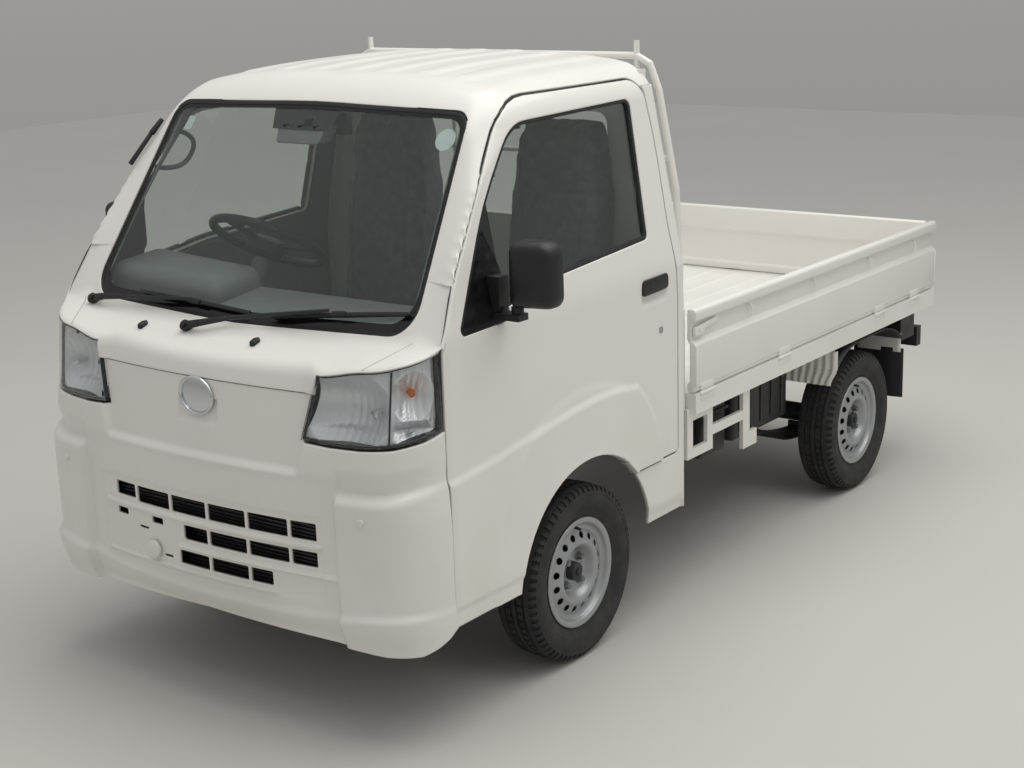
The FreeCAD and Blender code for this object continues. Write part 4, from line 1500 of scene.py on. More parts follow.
def door_x(y, z):
    """How far out the door's skin stands."""
    x = sum(side_x(z + step) for step in (-0.03, -0.015, 0, 0.015, 0.03)) / 5
    if z > 1.42:
        x -= smooth(1.42, 1.52, z) * (side_x(z) - shell_x(y, z))
    if z < 0.86:
        x += 0.0100 * smooth(-0.004, 0.018, crease_depth(y, z))
        reach = math.hypot(y - ARCH_Y, z - ARCH_Z)
        limit = 0.47 + 0.095 * smooth(0.44, 0.74, z)
        if y < -0.62:
            x += 0.0045 * smooth(limit + 0.012, limit - 0.020, reach)
        x += 0.0015 * smooth(0.372, 0.352, reach)
    x -= 0.0045 * smooth(0.378, 0.360, z)
    scoop_y = band(-0.505, -0.395, 0.022, y)
    x -= 0.011 * scoop_y * band(1.026, 1.068, 0.020, z)
    # The skin follows the nose's corner at its front edge.
    x -= 0.004 * smooth(-1.455, -1.480, y) * smooth(1.15, 1.05, z)
    return x


class KEITRUCK_OT_doors(bpy.types.Operator):
    """Make the doors: outer skin with its arch flare, lining, seals, handle and lock"""
    bl_idname = "keitruck.doors"
    bl_label = "Doors"

    def execute(self, context):
        body = settings("body")
        radius = body.edge_roll
        skin = sheet(200, 226, (-1.482, -0.314), (0.316, 1.676))
        punch(skin, door_outline(-radius), keep=True)
        punch(skin, arch_outline(radius))
        punch(skin, grown(rounded(GLASS_OUTLINE), radius))
        mapped(skin, lambda y, z: Vector((door_x(y, z), y, z)))
        bmesh.ops.recalc_face_normals(skin, faces=skin.faces)
        out, door = (1, 0, 0), "{side}_door"
        panel("{side}_door_skin", skin, out, "paint", door, (door,), edge=(radius, 0.030),
              wall=body.sheet)
        lining = sheet(60, 70, (-1.482, -0.314), (0.316, 1.676))
        punch(lining, door_outline(-0.012), keep=True)
        punch(lining, arch_outline(0.012))
        punch(lining, grown(rounded(GLASS_OUTLINE), 0.012))

        def inner(y, z):
            """Lining with an arm rest and a pocket pressed in."""
            x = min(side_x(z) - 0.031, door_x(y, z) - 0.012)
            x -= 0.003 * band(-1.25, -0.50, 0.02, y) * band(0.90, 0.96, 0.015, z)
            x += 0.010 * band(-1.30, -0.95, 0.02, y) * band(0.60, 0.78, 0.015, z)
            return Vector((x, y, z))

        mapped(lining, inner)
        panel("{side}_door_lining", lining, (-1, 0, 0), "cabin", door, wall=body.sheet)
        ring = sheet(120, 70, (-1.44, -0.40), (1.08, 1.64))
        punch(ring, grown(rounded(GLASS_OUTLINE), 0.002), keep=True)
        punch(ring, grown(rounded(GLASS_OUTLINE), -0.009))
        mapped(ring, lambda y, z: Vector((door_x(y, z) - 0.0035, y, z)))
        panel("{side}_door_glass_seal", ring, out, "seal", door, edge=(0.0015, 0.016, None, 2))
        low, high = HANDLE_LOW, HANDLE_HIGH
        grip = sheet(40, 16, (low[0], high[0]), (low[1], high[1]))
        corner = [(low[0], low[1], 0.012), (high[0], low[1] + 0.006, 0.012),
                  (high[0], high[1], 0.012), (low[0], high[1] - 0.004, 0.012)]
        punch(grip, grown(rounded(corner), -0.003), keep=True)

        def handle(y, z):
            """Crowned grip bar that stands off the skin."""
            u = (y - (low[0] + high[0]) / 2) / 0.072
            v = (z - (low[1] + high[1]) / 2) / 0.027
            return Vector((side_x(z) + 0.0085 - 0.003 * u * u - 0.003 * v * v, y, z))

        mapped(grip, handle)
        panel("{side}_door_handle", grip, out, "trim", door, edge=(0.003, 0.012))
        lock = drum((0.727, -0.417, 0.921), (1, 0, 0), 0.011, 0.003, 32, 0.001)
        panel("{side}_door_lock", lock, None, "wheel", door, slot="body_paint")
        return {"FINISHED"}


def groove(outline, surface, wide):
    """A dark strip of painted shade that lies in a shut line, behind the panels beside it."""
    low = [min(p[axis] for p in outline) - 0.02 for axis in (0, 1)]
    high = [max(p[axis] for p in outline) + 0.02 for axis in (0, 1)]
    bm = sheet(150, 150, (low[0], high[0]), (low[1], high[1]))
    punch(bm, grown(outline, wide), keep=True)
    punch(bm, grown(outline, -wide))
    return mapped(bm, surface)


class KEITRUCK_OT_shut_lines(bpy.types.Operator):
    """Make the dark strips of painted shade that lie behind the gaps round the doors and hood"""
    bl_idname = "keitruck.shut_lines"
    bl_label = "Shut Lines"

    def execute(self, context):
        # Painted shade: a black sheet behind the door's gap, where there is only the gap's shadow.
        bm = groove(door_outline(settings("body").shut_line / 2),
                    lambda y, z: Vector((door_x(y, z) - 0.0075, y, z)), 0.0032)
        punch(bm, arch_outline(0.004), 0)
        panel("{side}_door_groove", bm, (1, 0, 0), "seal")
        # Painted shade: a black sheet behind the hood's seam, where there is only the seam's shadow.
        hood = sheet(120, 3, (-0.42, 0.42), (HOOD_SEAM - 0.008, HOOD_SEAM + 0.012))
        mapped(hood, behind_nose(0.030))
        panel("hood_groove", hood, (0, -1, 0), "seal")
        return {"FINISHED"}


# ---- glass, wipers, mirrors and what hangs behind the windscreen ----

SCREEN_RECESS = 0.007
# Points on the screen or hood as (across, height, stand-off), and the kinked driver's arm.
WIPER_ARMS = (((-0.582, -1.504, 1.092), (-0.530, -1.506, 1.103), (-0.440, -1.500, 1.110),
               (-0.170, -1.492, 1.128)),
              ((-0.136, -1.556, 1.068), (-0.085, -1.551, 1.079), (0.000, -1.521, 1.096),
               (0.345, -1.482, 1.146)))
WIPER_BLADES = (((-0.400, 1.121), (0.060, 1.106)), ((0.140, 1.104), (0.590, 1.150)))
NOZZLES = (-0.304, 0.140)


def screen_point(x, z, out=0.0):
    """A place on the windscreen's plane, moved outwards by a distance."""
    y = SCREEN_FOOT + SCREEN_RAKE * (z - SCREEN_FOOT_HEIGHT) + x * x / (2 * SCREEN_BOW)
    normal = Vector((-x / SCREEN_BOW, -1, SCREEN_RAKE)).normalized()
    normal.x = -normal.x
    return Vector((x, y, z)) + normal * out


def on_screen(cells, wide, tall, out, outline, hole=None):
    """A sheet on the windscreen's plane, cut to an outline, with a hole if one is given."""
    bm = punch(sheet(*cells, wide, tall), outline, keep=True)
    if hole:
        punch(bm, hole)
    return mapped(bm, lambda x, z: screen_point(x, z, out))


def strut(start, end, up, wide, tall, bevel=0.001, taper=1.0):
    """A bar of rectangular section from one place to another."""
    start, end = Vector(start), Vector(end)
    run = end - start
    along_axis = run.normalized()
    side = along_axis.cross(Vector(up)).normalized()
    top = side.cross(along_axis)
    bm = bmesh.new()
    bmesh.ops.create_cube(bm, size=1)
    for vert in bm.verts:
        share = vert.co.x + 0.5
        narrow = 1 + (taper - 1) * share
        vert.co = (start + run * share + side * (vert.co.y * wide * narrow)
                   + top * (vert.co.z * tall * narrow))
    bmesh.ops.recalc_face_normals(bm, faces=bm.faces)
    if bevel:
        soften(bm, bevel)
    return bm


class KEITRUCK_OT_windscreen(bpy.types.Operator):
    """Make the windscreen with its black border band, rubber and sensor cover"""
    bl_idname = "keitruck.windscreen"
    bl_label = "Windscreen"

    def execute(self, context):
        facing, wide, tall = (0, -1, 0.5), (-0.63, 0.63), (1.07, 1.665)
        pane = on_screen((60, 30), wide, tall, -SCREEN_RECESS, glass_opening(0.006))
        panel("windscreen_pane", pane, facing, "glass", stands_for=("windscreen",), wall=0.0045)
        clear_of = [(-0.600, 1.128, 0.070), (0, 1.110, 3.0), (0.600, 1.128, 0.070),
                    (0.545, 1.625, 0.050), (0, 1.639, 4.0), (-0.545, 1.625, 0.050)]
        border = on_screen((60, 30), wide, tall, -SCREEN_RECESS + 0.0004, glass_opening(0.006),
                           rounded(clear_of))
        panel("windscreen_border", border, facing, "frit")
        rubber = on_screen((80, 40), (-0.64, 0.64), (1.06, 1.675), -0.0045,
                           glass_opening(-0.0005), glass_opening(-0.0075))
        panel("windscreen_rubber", rubber, facing, "seal", edge=(0.0015, 0.005, None, 2))
        corners = [(-0.152, 1.649, 0), (0.110, 1.649, 0), (0.088, 1.582, 0), (-0.132, 1.582, 0)]
        patch = on_screen((30, 12), (-0.160, 0.120), (1.575, 1.650), -SCREEN_RECESS - 0.0054,
                          rounded(corners))
        panel("sensor_patch", patch, facing, "frit")
        outline = [(-0.118, 1.596, 0.012), (0.074, 1.596, 0.012), (0.058, 1.537, 0.014),
                   (-0.103, 1.537, 0.014)]
        cover = extruded(rounded(outline), 1, 0.0, 0.060, 0.006)
        for vert in cover.verts:
            vert.co.y += screen_point(0, vert.co.z, -0.020).y
        piece("sensor_cover", cover, "cabin")
        fins = [drum(screen_point(x, 1.598, -0.016), (0, 0, -1), 0.020, 0.034, 3, 0.001, 0.005)
                for x in (-0.080, -0.022, 0.036)]
        piece("sensor_windows", merged(fins), "trim")
        return {"FINISHED"}


class KEITRUCK_OT_wipers(bpy.types.Operator):
    """Make the two wipers and the washer nozzles"""
    bl_idname = "keitruck.wipers"
    bl_label = "Wipers"

    def execute(self, context):
        up = Vector((0, -1, SCREEN_RAKE)).normalized()
        for name, arm, blade in zip(("right", "left"), WIPER_ARMS, WIPER_BLADES):
            points = [Vector(point) for point in arm]
            parts = [drum(points[0] - up * 0.028, up, 0.016, 0.034, 32, 0.003),
                     drum(points[0] + up * 0.006, up, 0.0095, 0.006, 6, 0.001)]
            sizes = ((0.022, 0.013, 0.9), (0.019, 0.011, 0.75), (0.013, 0.008, 0.75))
            for first, second, (wide, tall, taper) in zip(points, points[1:], sizes):
                parts.append(strut(first, second, up, wide, tall, 0.0025, taper))
            (xa, za), (xb, zb) = blade
            first, second = screen_point(xa, za, 0.010), screen_point(xb, zb, 0.010)
            run = second - first
            bow = [first + run * share + up * 0.006 * math.sin(math.pi * share)
                   for share in (0.0, 0.25, 0.5, 0.75, 1.0)]
            parts += [strut(a, b, up, 0.011, 0.004, 0.001) for a, b in zip(bow, bow[1:])]
            low = screen_point(xa, za, 0.002)
            parts.append(strut(low, screen_point(xb, zb, 0.002), up, 0.003, 0.014, 0.0))
            for share in (0.16, 0.36, 0.64, 0.84):
                mid = first + run * share
                parts.append(strut(mid - run * 0.030, mid + run * 0.030, up, 0.009, 0.007, 0.001))
            centre = first + run * 0.52 + up * 0.007
            parts.append(strut(centre - run * 0.05, centre + run * 0.05, up, 0.016, 0.012, 0.003))
            piece(f"{name}_wiper", merged(parts), "trim")
        caps = []
        for x in NOZZLES:
            y = -1.560
            z = COWL_HEIGHT + COWL_SLOPE * (y - COWL_FRONT) - 0.001
            outline = rounded([(-0.009, -0.016, 0.006), (0.009, -0.016, 0.006),
                               (0.013, 0.007, 0.006), (0.0, 0.016, 0.005), (-0.013, 0.007, 0.006)])
            cap = extruded(outline, 2, 0.0, 0.011, 0.003)
            for vert in cap.verts:
                vert.co.z += COWL_SLOPE * vert.co.y * (1 if vert.co.z < 0.006 else 0.55)
            caps.append(move(cap, (x, y, z)))
        piece("washer_nozzles", merged(caps), "trim")
        return {"FINISHED"}


class KEITRUCK_OT_door_glass(bpy.types.Operator):
    """Make the door windows and the black corner patch behind each mirror"""
    bl_idname = "keitruck.door_glass"
    bl_label = "Door Glass"

    def execute(self, context):
        pane = sheet(40, 24, (-1.42, -0.41), (1.09, 1.63))
        punch(pane, grown(rounded(GLASS_OUTLINE), 0.004), keep=True)
        mapped(pane, lambda y, z: Vector((side_x(z) - 0.013, y, z)))
        panel("{side}_window", pane, (1, 0, 0), "glass", "{side}_door", ("{side}_door_glass",),
              wall=0.0035)
        patch = sheet(30, 30, (-1.42, -1.18), (1.08, 1.46))
        punch(patch, grown(rounded(GLASS_OUTLINE), -0.004), keep=True)
        corners = [(-1.50, 1.00, 0), (-1.186, 1.00, 0), (-1.186, 1.240, 0), (-1.230, 1.345, 0),
                   (-1.262, 1.345, 0), (-1.50, 1.10, 0)]
        punch(patch, rounded(corners), keep=True)
        mapped(patch, lambda y, z: Vector((side_x(z) - 0.004, y, z)))
        panel("{side}_corner_patch", patch, (1, 0, 0), "trim", "{side}_door",
              edge=(0.003, 0.010))
        return {"FINISHED"}


class KEITRUCK_OT_mirrors(bpy.types.Operator):
    """Make the door mirrors, the left one out and the right one folded in"""
    bl_idname = "keitruck.mirrors"
    bl_label = "Mirrors"

    def execute(self, context):
        pivot, folded = Vector((0.780, -1.228, 0)), math.radians(75)
        corners = [(0.766, 1.148, 0.026), (0.912, 1.156, 0.034), (0.911, 1.334, 0.040),
                   (0.767, 1.328, 0.030)]
        outline = rounded(corners, 6)
        rings = ((-1.197, -0.002), (-1.202, 0.0), (-1.226, -0.0005), (-1.240, -0.003),
                 (-1.251, -0.008), (-1.258, -0.016), (-1.2615, -0.028))
        shell = bmesh.new()
        face = shell.faces.new([shell.verts.new((p.x, rings[0][0], p.y))
                                for p in grown(outline, rings[0][1])])
        for y, inset in rings[1:]:
            face = bmesh.ops.extrude_discrete_faces(shell, faces=[face])["faces"][0]
            for vert, place in zip(face.verts, self.matched(face, outline, inset)):
                vert.co = Vector((place.x, y, place.y))
        bmesh.ops.recalc_face_normals(shell, faces=shell.faces)
        back = max(shell.faces, key=lambda item: item.calc_center_median().y)
        front = min(shell.faces, key=lambda item: item.calc_center_median().y)
        poked = bmesh.ops.poke(shell, faces=[front])
        bmesh.ops.translate(shell, vec=(0, -0.0004, 0), verts=poked["verts"])
        bmesh.ops.inset_region(shell, faces=[back], thickness=0.007, use_even_offset=True)
        bmesh.ops.translate(shell, vec=(0, -0.006, 0), verts=back.verts)
        soften(shell, 0.0012, 2, 50)
        hinge = drum((0.782, -1.228, 1.128), (0, 0, 1), 0.017, 0.026, 32, 0.003)
        whole = merged([shell, hinge])
        glass = extruded(grown(outline, -0.010), 1, -1.2035, -1.2015, 0.0005)
        for name, bm, look, slot in (("shell", whole, "trim", None),
                                     ("face", glass, "reflector", "glass")):
            right = bm.copy()
            bmesh.ops.rotate(right, cent=pivot, matrix=Matrix.Rotation(folded, 3, "Z"),
                             verts=right.verts)
            right = other_side(right)
            for side, copy in (("right", right), ("left", bm)):
                stands = (f"{side}_mirror",) if name == "shell" else ()
                piece(f"{side}_mirror_{name}", copy, look, f"{side}_mirror", stands, slot)
        return {"FINISHED"}

    def matched(self, face, outline, inset):
        """Points of the outline moved in, in the order of a face's corners."""
        moved = grown(outline, inset)
        places = []
        for vert in face.verts:
            flat = Vector((vert.co.x, vert.co.z))
            index = min(range(len(outline)), key=lambda i: (outline[i] - flat).length)
            places.append(moved[index])
        return places


# ---- tyres and wheel fittings ----

WHEELS = (("front_left", 1, -0.847), ("front_right", -1, -0.847),
          ("rear_left", 1, 1.053), ("rear_right", -1, 1.053))
WHEEL_HEIGHT, WHEEL_TRACK = 0.268, 0.650
# Places of the tread's grooves, across from the tyre's middle plane.
TREAD_GROOVES = (0.010, 0.033)


def tyre_section(depth):
    """Section of the tyre from bead to bead as (across, radius), with four tread grooves."""
    side = [(0.048, 0.163), (0.0515, 0.1665), (0.0535, 0.172), (0.0560, 0.176), (0.0615, 0.186),
            (0.0655, 0.196), (0.0660, 0.1965), (0.0675, 0.2005), (0.0672, 0.2012),
            (0.0700, 0.210), (0.0708, 0.220), (0.0702, 0.230), (0.0688, 0.238), (0.0700, 0.2392),
            (0.0690, 0.2470), (0.0650, 0.2560), (0.0600, 0.2612)]
    crown = [(0.0520, 0.2640)]
    for place in reversed(TREAD_GROOVES):
        top = 0.2645 + 0.0032 * (1 - place / 0.052)
        crown += [(place + 0.0036, top), (place + 0.0024, top - depth),
                  (place - 0.0024, top - depth), (place - 0.0036, top)]
    half = side + crown
    return half + [(-across, radius) for across, radius in reversed(half)]


class KEITRUCK_OT_tyres(bpy.types.Operator):
    """Make the tyres with their tread blocks and sidewall rings"""
    bl_idname = "keitruck.tyres"
    bl_label = "Tyres"

    def execute(self, context):
        wheel = settings("wheel")
        steps = wheel.blocks * 2
        bm = turned(tyre_section(wheel.groove), steps)
        shoulders = []
        for face in bm.faces:
            centre = face.calc_center_median()
            radius = math.hypot(centre.y, centre.z)
            turn = int((math.atan2(centre.z, centre.y) / math.tau + 0.5) * steps)
            edge_band = 0.0500 < abs(centre.x) < 0.0680 and radius > 0.250
            rib = 0.014 < abs(centre.x) < 0.030 and radius > 0.262
            if (edge_band or rib) and turn % 2 == (centre.x > 0):
                shoulders.append(face)
        bmesh.ops.inset_individual(bm, faces=shoulders, thickness=0.0012, depth=0.0)
        for face in shoulders:
            pull = -face.normal * wheel.groove * 0.55
            for vert in face.verts:
                vert.co += pull
        for name, side, y in WHEELS:
            copy = bm.copy() if side > 0 else other_side(bm)
            move(copy, (side * WHEEL_TRACK, y, WHEEL_HEIGHT))
            piece(f"{name}_tyre_tread", copy, "tyre", f"{name}_wheel", (f"{name}_tyre",))
        bm.free()
        return {"FINISHED"}


# The wheel's pressed face in (across, radius) from the lip to the hub, and its closed well.
WHEEL_FACE = ((0.0530, 0.1680), (0.0575, 0.1672), (0.0583, 0.1650), (0.0570, 0.1535),
              (0.0540, 0.1490), (0.0440, 0.1450), (0.0390, 0.1390), (0.0375, 0.1320),
              (0.0400, 0.1260), (0.0440, 0.1190), (0.0475, 0.1080), (0.0520, 0.1000),
              (0.0548, 0.0930), (0.0540, 0.0860), (0.0480, 0.0790), (0.0330, 0.0700),
              (0.0260, 0.0650), (0.0235, 0.0590), (0.0230, 0.0200))
WHEEL_WELL = ((0.054, 0.1660), (0.050, 0.1525), (0.032, 0.1490), (0.022, 0.1380), (-0.024, 0.1380),
              (-0.038, 0.1490), (-0.052, 0.1525), (-0.055, 0.1670), (-0.059, 0.1670),
              (-0.058, 0.1500), (-0.040, 0.1460), (-0.026, 0.1345), (0.020, 0.1345),
              (0.030, 0.1450), (0.040, 0.1480))
VENT_RADIUS, VENT_RING, VENTS = 0.0112, 0.1130, 16
BOWL_FLOOR = 0.023


class KEITRUCK_OT_rims(bpy.types.Operator):
    """Make the pressed steel wheels with their ring of round vents"""
    bl_idname = "keitruck.rims"
    bl_label = "Steel Wheels"

    def execute(self, context):
        runs = [0.0]
        for (xa, ra), (xb, rb) in zip(WHEEL_FACE, WHEEL_FACE[1:]):
            runs.append(runs[-1] + math.hypot(xb - xa, rb - ra))
        across = [(run, point[0]) for run, point in zip(runs, WHEEL_FACE)]
        radii = [(run, point[1]) for run, point in zip(runs, WHEEL_FACE)]
        ring = next(run / 1000 for run in range(200) if along(radii, run / 1000) < VENT_RING)
        round_way = math.tau * VENT_RING
        face = sheet(193, 90, (0, round_way), (0, runs[-1]))
        for vent in range(VENTS):
            middle = Vector((round_way * (vent + 0.5) / VENTS, ring))
            turns = [math.tau * step / 28 for step in range(28)]
            punch(face, [middle + Vector((math.cos(t), math.sin(t))) * VENT_RADIUS for t in turns])

        def pressed(u, v):
            """Wrap the flat sheet round the axle, its folds eased."""
            steps = (-0.002, 0, 0.002)
            x = sum(along(across, v + step) for step in steps) / len(steps)
            radius = sum(along(radii, v + step) for step in steps) / len(steps)
            turn = u / VENT_RING
            return Vector((x, radius * math.cos(turn), radius * math.sin(turn)))

        mapped(face, pressed)
        bmesh.ops.remove_doubles(face, verts=face.verts, dist=1e-5)
        outwards(face, Vector((1, 0, 0)))
        well = turned(WHEEL_WELL, 96, closed=True)
        for name, side, y in WHEELS:
            for label, bm, wall in (("face", face, 0.0025), ("well", well, 0)):
                copy = bm.copy() if side > 0 else other_side(bm)
                move(copy, (side * WHEEL_TRACK, y, WHEEL_HEIGHT))
                panel(f"{name}_rim_{label}", copy, None, "wheel", f"{name}_wheel",
                      (f"{name}_rim",), wall=wall)
        face.free()
        well.free()
        return {"FINISHED"}


class KEITRUCK_OT_wheel_fittings(bpy.types.Operator):
    """Make the wheel nuts, valves and hub caps"""
    bl_idname = "keitruck.wheel_fittings"
    bl_label = "Wheel Fittings"

    def execute(self, context):
        floor, out = WHEEL_TRACK + BOWL_FLOOR, (1, 0, 0)
        for name, side, y in WHEELS:
            nuts = []
            for turn in range(4):
                angle = math.radians(45 + 90 * turn)
                spot = Vector((0, 0.050 * math.cos(angle), 0.050 * math.sin(angle)))
                for start, *sizes in ((floor, 0.0115, 0.019, 6, 0.0015, 0.0095),
                                      (floor - 0.002, 0.015, 0.005, 24, 0.001)):
                    nuts.append(drum(spot + Vector((start, 0, 0)), out, *sizes))
            hub = [drum((floor - 0.010, 0, 0), out, 0.030, 0.034, 40, 0.004, 0.027),
                   drum((floor + 0.022, 0, 0), out, 0.013, 0.008, 6, 0.002)]
            brake = drum((0.560, 0, 0), out, 0.142, 0.075, 48, 0.006)
            stem = drum((0.684, 0, 0.138), (1, 0, -0.12), 0.0045, 0.026, 16, 0.001)
            for label, parts, look in (("nuts", nuts, "cast"), ("hub", hub, "chassis"),
                                       ("brake", [brake], "chassis"), ("valve", [stem], "seal")):
                bm = merged(parts)
                if side < 0:
                    bm = other_side(bm)
                piece(f"{name}_{label}", move(bm, (0, y, WHEEL_HEIGHT)), look, f"{name}_wheel")
        return {"FINISHED"}


# ---- drop sides: pressed gates with hinges, hooks and latches ----

# How far out a side gate's outer face stands, and how deep its section is.
GATE_FACE, GATE_DEPTH = 0.7375, 0.032
GATE_HINGES = (-0.148, 0.385, 1.165, 1.490)
GATE_HOOKS = (0.150, 0.620, 1.080, 1.490)


def gate_section(outer, inner, low, high):
    """Closed cross section of a side gate, its outer face at the first place."""
    way = 1 if outer > inner else -1
    step = lambda amount: outer - way * amount
    corners = [(step(0.0), high, 0.013), (step(0.0), high - 0.038, 0.008),
               (step(0.018), high - 0.043, 0.005), (step(0.018), high - 0.100, 0.006),
               (step(0.0015), high - 0.116, 0.006), (step(0.0015), low + 0.016, 0.004),
               (step(0.006), low + 0.011, 0.003), (step(0.006), low, 0.002),
               (inner, low, 0.002), (inner, low + 0.024, 0.004),
               (inner + way * 0.009, low + 0.034, 0.004),
               (inner + way * 0.009, high - 0.112, 0.005), (inner, high - 0.098, 0.005),
               (inner, high, 0.010)]
    return rounded(corners, 4)


def rope_hook(foot, out, reach, radius):
    """A rod that stands out of a gate's channel from its foot, bends and turns down."""
    near, far = reach
    runs = ((0, 0.012), (near, 0.012), (far, -0.006), (far, -0.026))
    return pipe([foot + Vector(out) * run + Vector((0, 0, up)) for run, up in runs], radius, 8)


class KEITRUCK_OT_gates(bpy.types.Operator):
    """Make the two side gates and the tailgate with their pressed channels"""
    bl_idname = "keitruck.gates"
    bl_label = "Gates"

    def execute(self, context):
        for name, side in SIDES:
            low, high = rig.box(f"{name}_gate")
            outer = side * min(max(high[0], -low[0]), GATE_FACE)
            section = gate_section(outer, outer - side * GATE_DEPTH, low[2], high[2])
            parts = [extruded(section, 1, low[1], high[1], 0.0015, 2)]
            for y in (low[1] + 0.005, high[1] - 0.005):
                bottom, top = low[2] + 0.018, high[2] - 0.118
                x = sorted((outer - side * 0.004, outer + side * 0.003))
                parts.append(slab((x[0], y - 0.005, bottom), (x[1], y + 0.005, top), 0.0018))
            piece(f"{name}_gate_panel", merged(parts), "paint", f"{name}_gate", (f"{name}_gate",))
            self.fittings(name, side, outer, high[2])
        low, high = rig.box("tailgate")
        rear = high[1]
        section = gate_section(rear, rear - 0.030, low[2], high[2])
        parts = [extruded(section, 0, low[0], high[0], 0.0015, 2)]
        for x in (-0.55, -0.18, 0.18, 0.55):
            parts.append(slab((x - 0.04, rear - 0.008, low[2] - 0.004),
                              (x + 0.04, rear - 0.002, low[2] + 0.020)))
        piece("tailgate_panel", merged(parts), "paint", "tailgate", ("tailgate",))
        return {"FINISHED"}

    def fittings(self, name, side, outer, top):
        """Hinges, rope hooks in the channel and the latch at the front end."""
        leaves, fixed = [], []

        def plate(inner, proud, y, half, low, high, bevel):
            """A flat fitting on the gate's outer face, from inside it to just proud."""
            x = sorted((outer - side * inner, outer + side * proud))
            return slab((x[0], y - half, low), (x[1], y + half, high), bevel)

        for y in GATE_HINGES:
            leaves.append(plate(0.010, 0.0005, y, 0.040, 0.676, 0.700, 0.0015))
            fixed.append(plate(0.012, 0.001, y, 0.046, 0.640, 0.664, 0.003))
            fixed.append(drum((outer - 0.001 * side, y - 0.046, 0.668), (0, 1, 0), 0.0065, 0.092,
                              16, 0.001))
        hooks = []
        for y in GATE_HOOKS:
            foot = Vector((outer - side * 0.018, y, top - 0.062))
            hooks += [rope_hook(foot, (side, 0, 0), (0.014, 0.016), 0.0035),
                      slab((foot.x - 0.0015, y - 0.014, foot.z - 0.004),
                           (foot.x + 0.0015, y + 0.014, foot.z + 0.026), 0.0007)]
        y = -0.205
        lever = Vector((outer - side * 0.008, y + 0.020, top - 0.066))
        latch = [slab((outer - side * 0.010 - 0.006, y - 0.012, top - 0.088),
                      (outer - side * 0.010 + 0.006, y + 0.050, top - 0.058), 0.003),
                 strut(lever, lever + Vector((0, 0.115, 0.012)), (side, 0, 0), 0.020, 0.006, 0.002,
                       0.8),
                 drum(lever - Vector((side * 0.004, 0, 0)), (side, 0, 0), 0.011, 0.010, 24, 0.002)]
        piece(f"{name}_gate_fittings", merged(leaves + hooks + latch), "paint", f"{name}_gate")
        piece(f"{name}_gate_hinges", merged(fixed), "paint")


# ---- guards, liners and flaps under the bed ----

SPLASH_WAVE = 0.031


class KEITRUCK_OT_guards(bpy.types.Operator):
    """Make the ribbed splash guards, wheel liners, hangers and mud flaps"""
    bl_idname = "keitruck.guards"
    bl_label = "Guards"

    def execute(self, context):
        for name, side in SIDES:
            low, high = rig.box(f"{name}_mudguard")
            inner, outer = sorted((abs(low[0]), abs(high[0])))
            board = sheet(48, 10, (inner + 0.004, outer), (low[2] + 0.182, high[2] - 0.010))
            for vert in board.verts:
                wave = 0.003 * math.cos((vert.co.x - inner) / SPLASH_WAVE * math.tau)
                taper = smooth(low[2] + 0.182, low[2] + 0.25, vert.co.y)
                x = inner + (vert.co.x - inner) * (0.88 + 0.12 * taper)
                vert.co = Vector((x, low[1] + 0.004 + wave, vert.co.y))
            arch = sheet(8, 40, (inner, outer), (0, 1))
            reach = high[1] - low[1] - 0.012

            def hoop(x, t):
                """Liner over the wheel: up from the front guard, across, down to the flap."""
                y = low[1] + 0.006 + reach * t
                crown = high[2] - 0.006 - 0.075 * abs(2 * t - 1) ** 4
                return Vector((x, y, crown))

            mapped(arch, hoop)
            hanger = sheet(14, 16, (inner + 0.02, outer - 0.01), (low[2] + 0.185, high[2] - 0.06))
            mapped(hanger, lambda x, z: Vector((x, high[1] - 0.0075, z)))
            flap = sheet(16, 20, (inner + 0.01, outer), (low[2] + 0.001, low[2] + 0.200))
            mapped(flap, lambda x, z: Vector((x, high[1] - 0.004 - 0.004 * math.sin(x * 40), z)))
            fold = (0.002, 0.012, None, 2)
            for label, bm, facing, look, wall, edge, slot, stands in (
                    ("splash_guard", board, (0, -1, 0), "paint", 0.0015, fold, None,
                     (f"{name}_mudguard",)),
                    ("wheel_liner", arch, (0, 0, 1), "chassis", 0.002, None, "black_plastic", ()),
                    ("guard_hanger", hanger, (0, 1, 0), "paint", 0.0015, None, None, ()),
                    ("mud_flap", flap, (0, 1, 0), "seal", 0.003, None, None, ())):
                outwards(bm, Vector(facing))
                if edge:
                    roll(bm, *edge)
                panel(f"{name}_{label}", bm if side > 0 else other_side(bm), None, look,
                      stands_for=stands, slot=slot, wall=wall)
        return {"FINISHED"}


# ---- seats ----

# Cell size of a seat's even skin, pressure of its filling and how far that may push it out.
SEAT_CELL, SEAT_PRESSURE, SEAT_SWELL = 0.008, 4.0, 0.022


def swollen(bm):
    """Fill a stitched cover: an even skin, blown up as cloth and held to a limit."""
    mesh = bpy.data.meshes.new("cover")
    bm.to_mesh(mesh)
    bm.free()
    cover = bpy.data.objects.new("cover", mesh)
    scene = bpy.context.scene
    scene.collection.objects.link(cover)
    even = cover.modifiers.new("even", "REMESH")
    even.mode = "VOXEL"
    even.voxel_size = SEAT_CELL
    skin = evaluated(cover)
    cover.modifiers.clear()
    cover.data = skin
    start = [vert.co.copy() for vert in skin.vertices]
    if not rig.quick():
        cloth = cover.modifiers.new("filling", "CLOTH")
        cloth.settings.use_pressure = True
        cloth.settings.uniform_pressure_force = SEAT_PRESSURE
        cloth.settings.quality = 4
        cloth.settings.effector_weights.gravity = 0
        for frame_number in range(1, 21):
            scene.frame_set(frame_number)
        filled = evaluated(cover)
        cover.modifiers.clear()
        cover.data = filled
        scene.frame_set(1)
    result = bmesh.new()
    result.from_mesh(cover.data)
    for vert, home in zip(result.verts, start):
        swell = vert.co - home
        if swell.length > SEAT_SWELL:
            vert.co = home + swell * (SEAT_SWELL / swell.length)
    bpy.data.objects.remove(cover)
    return result


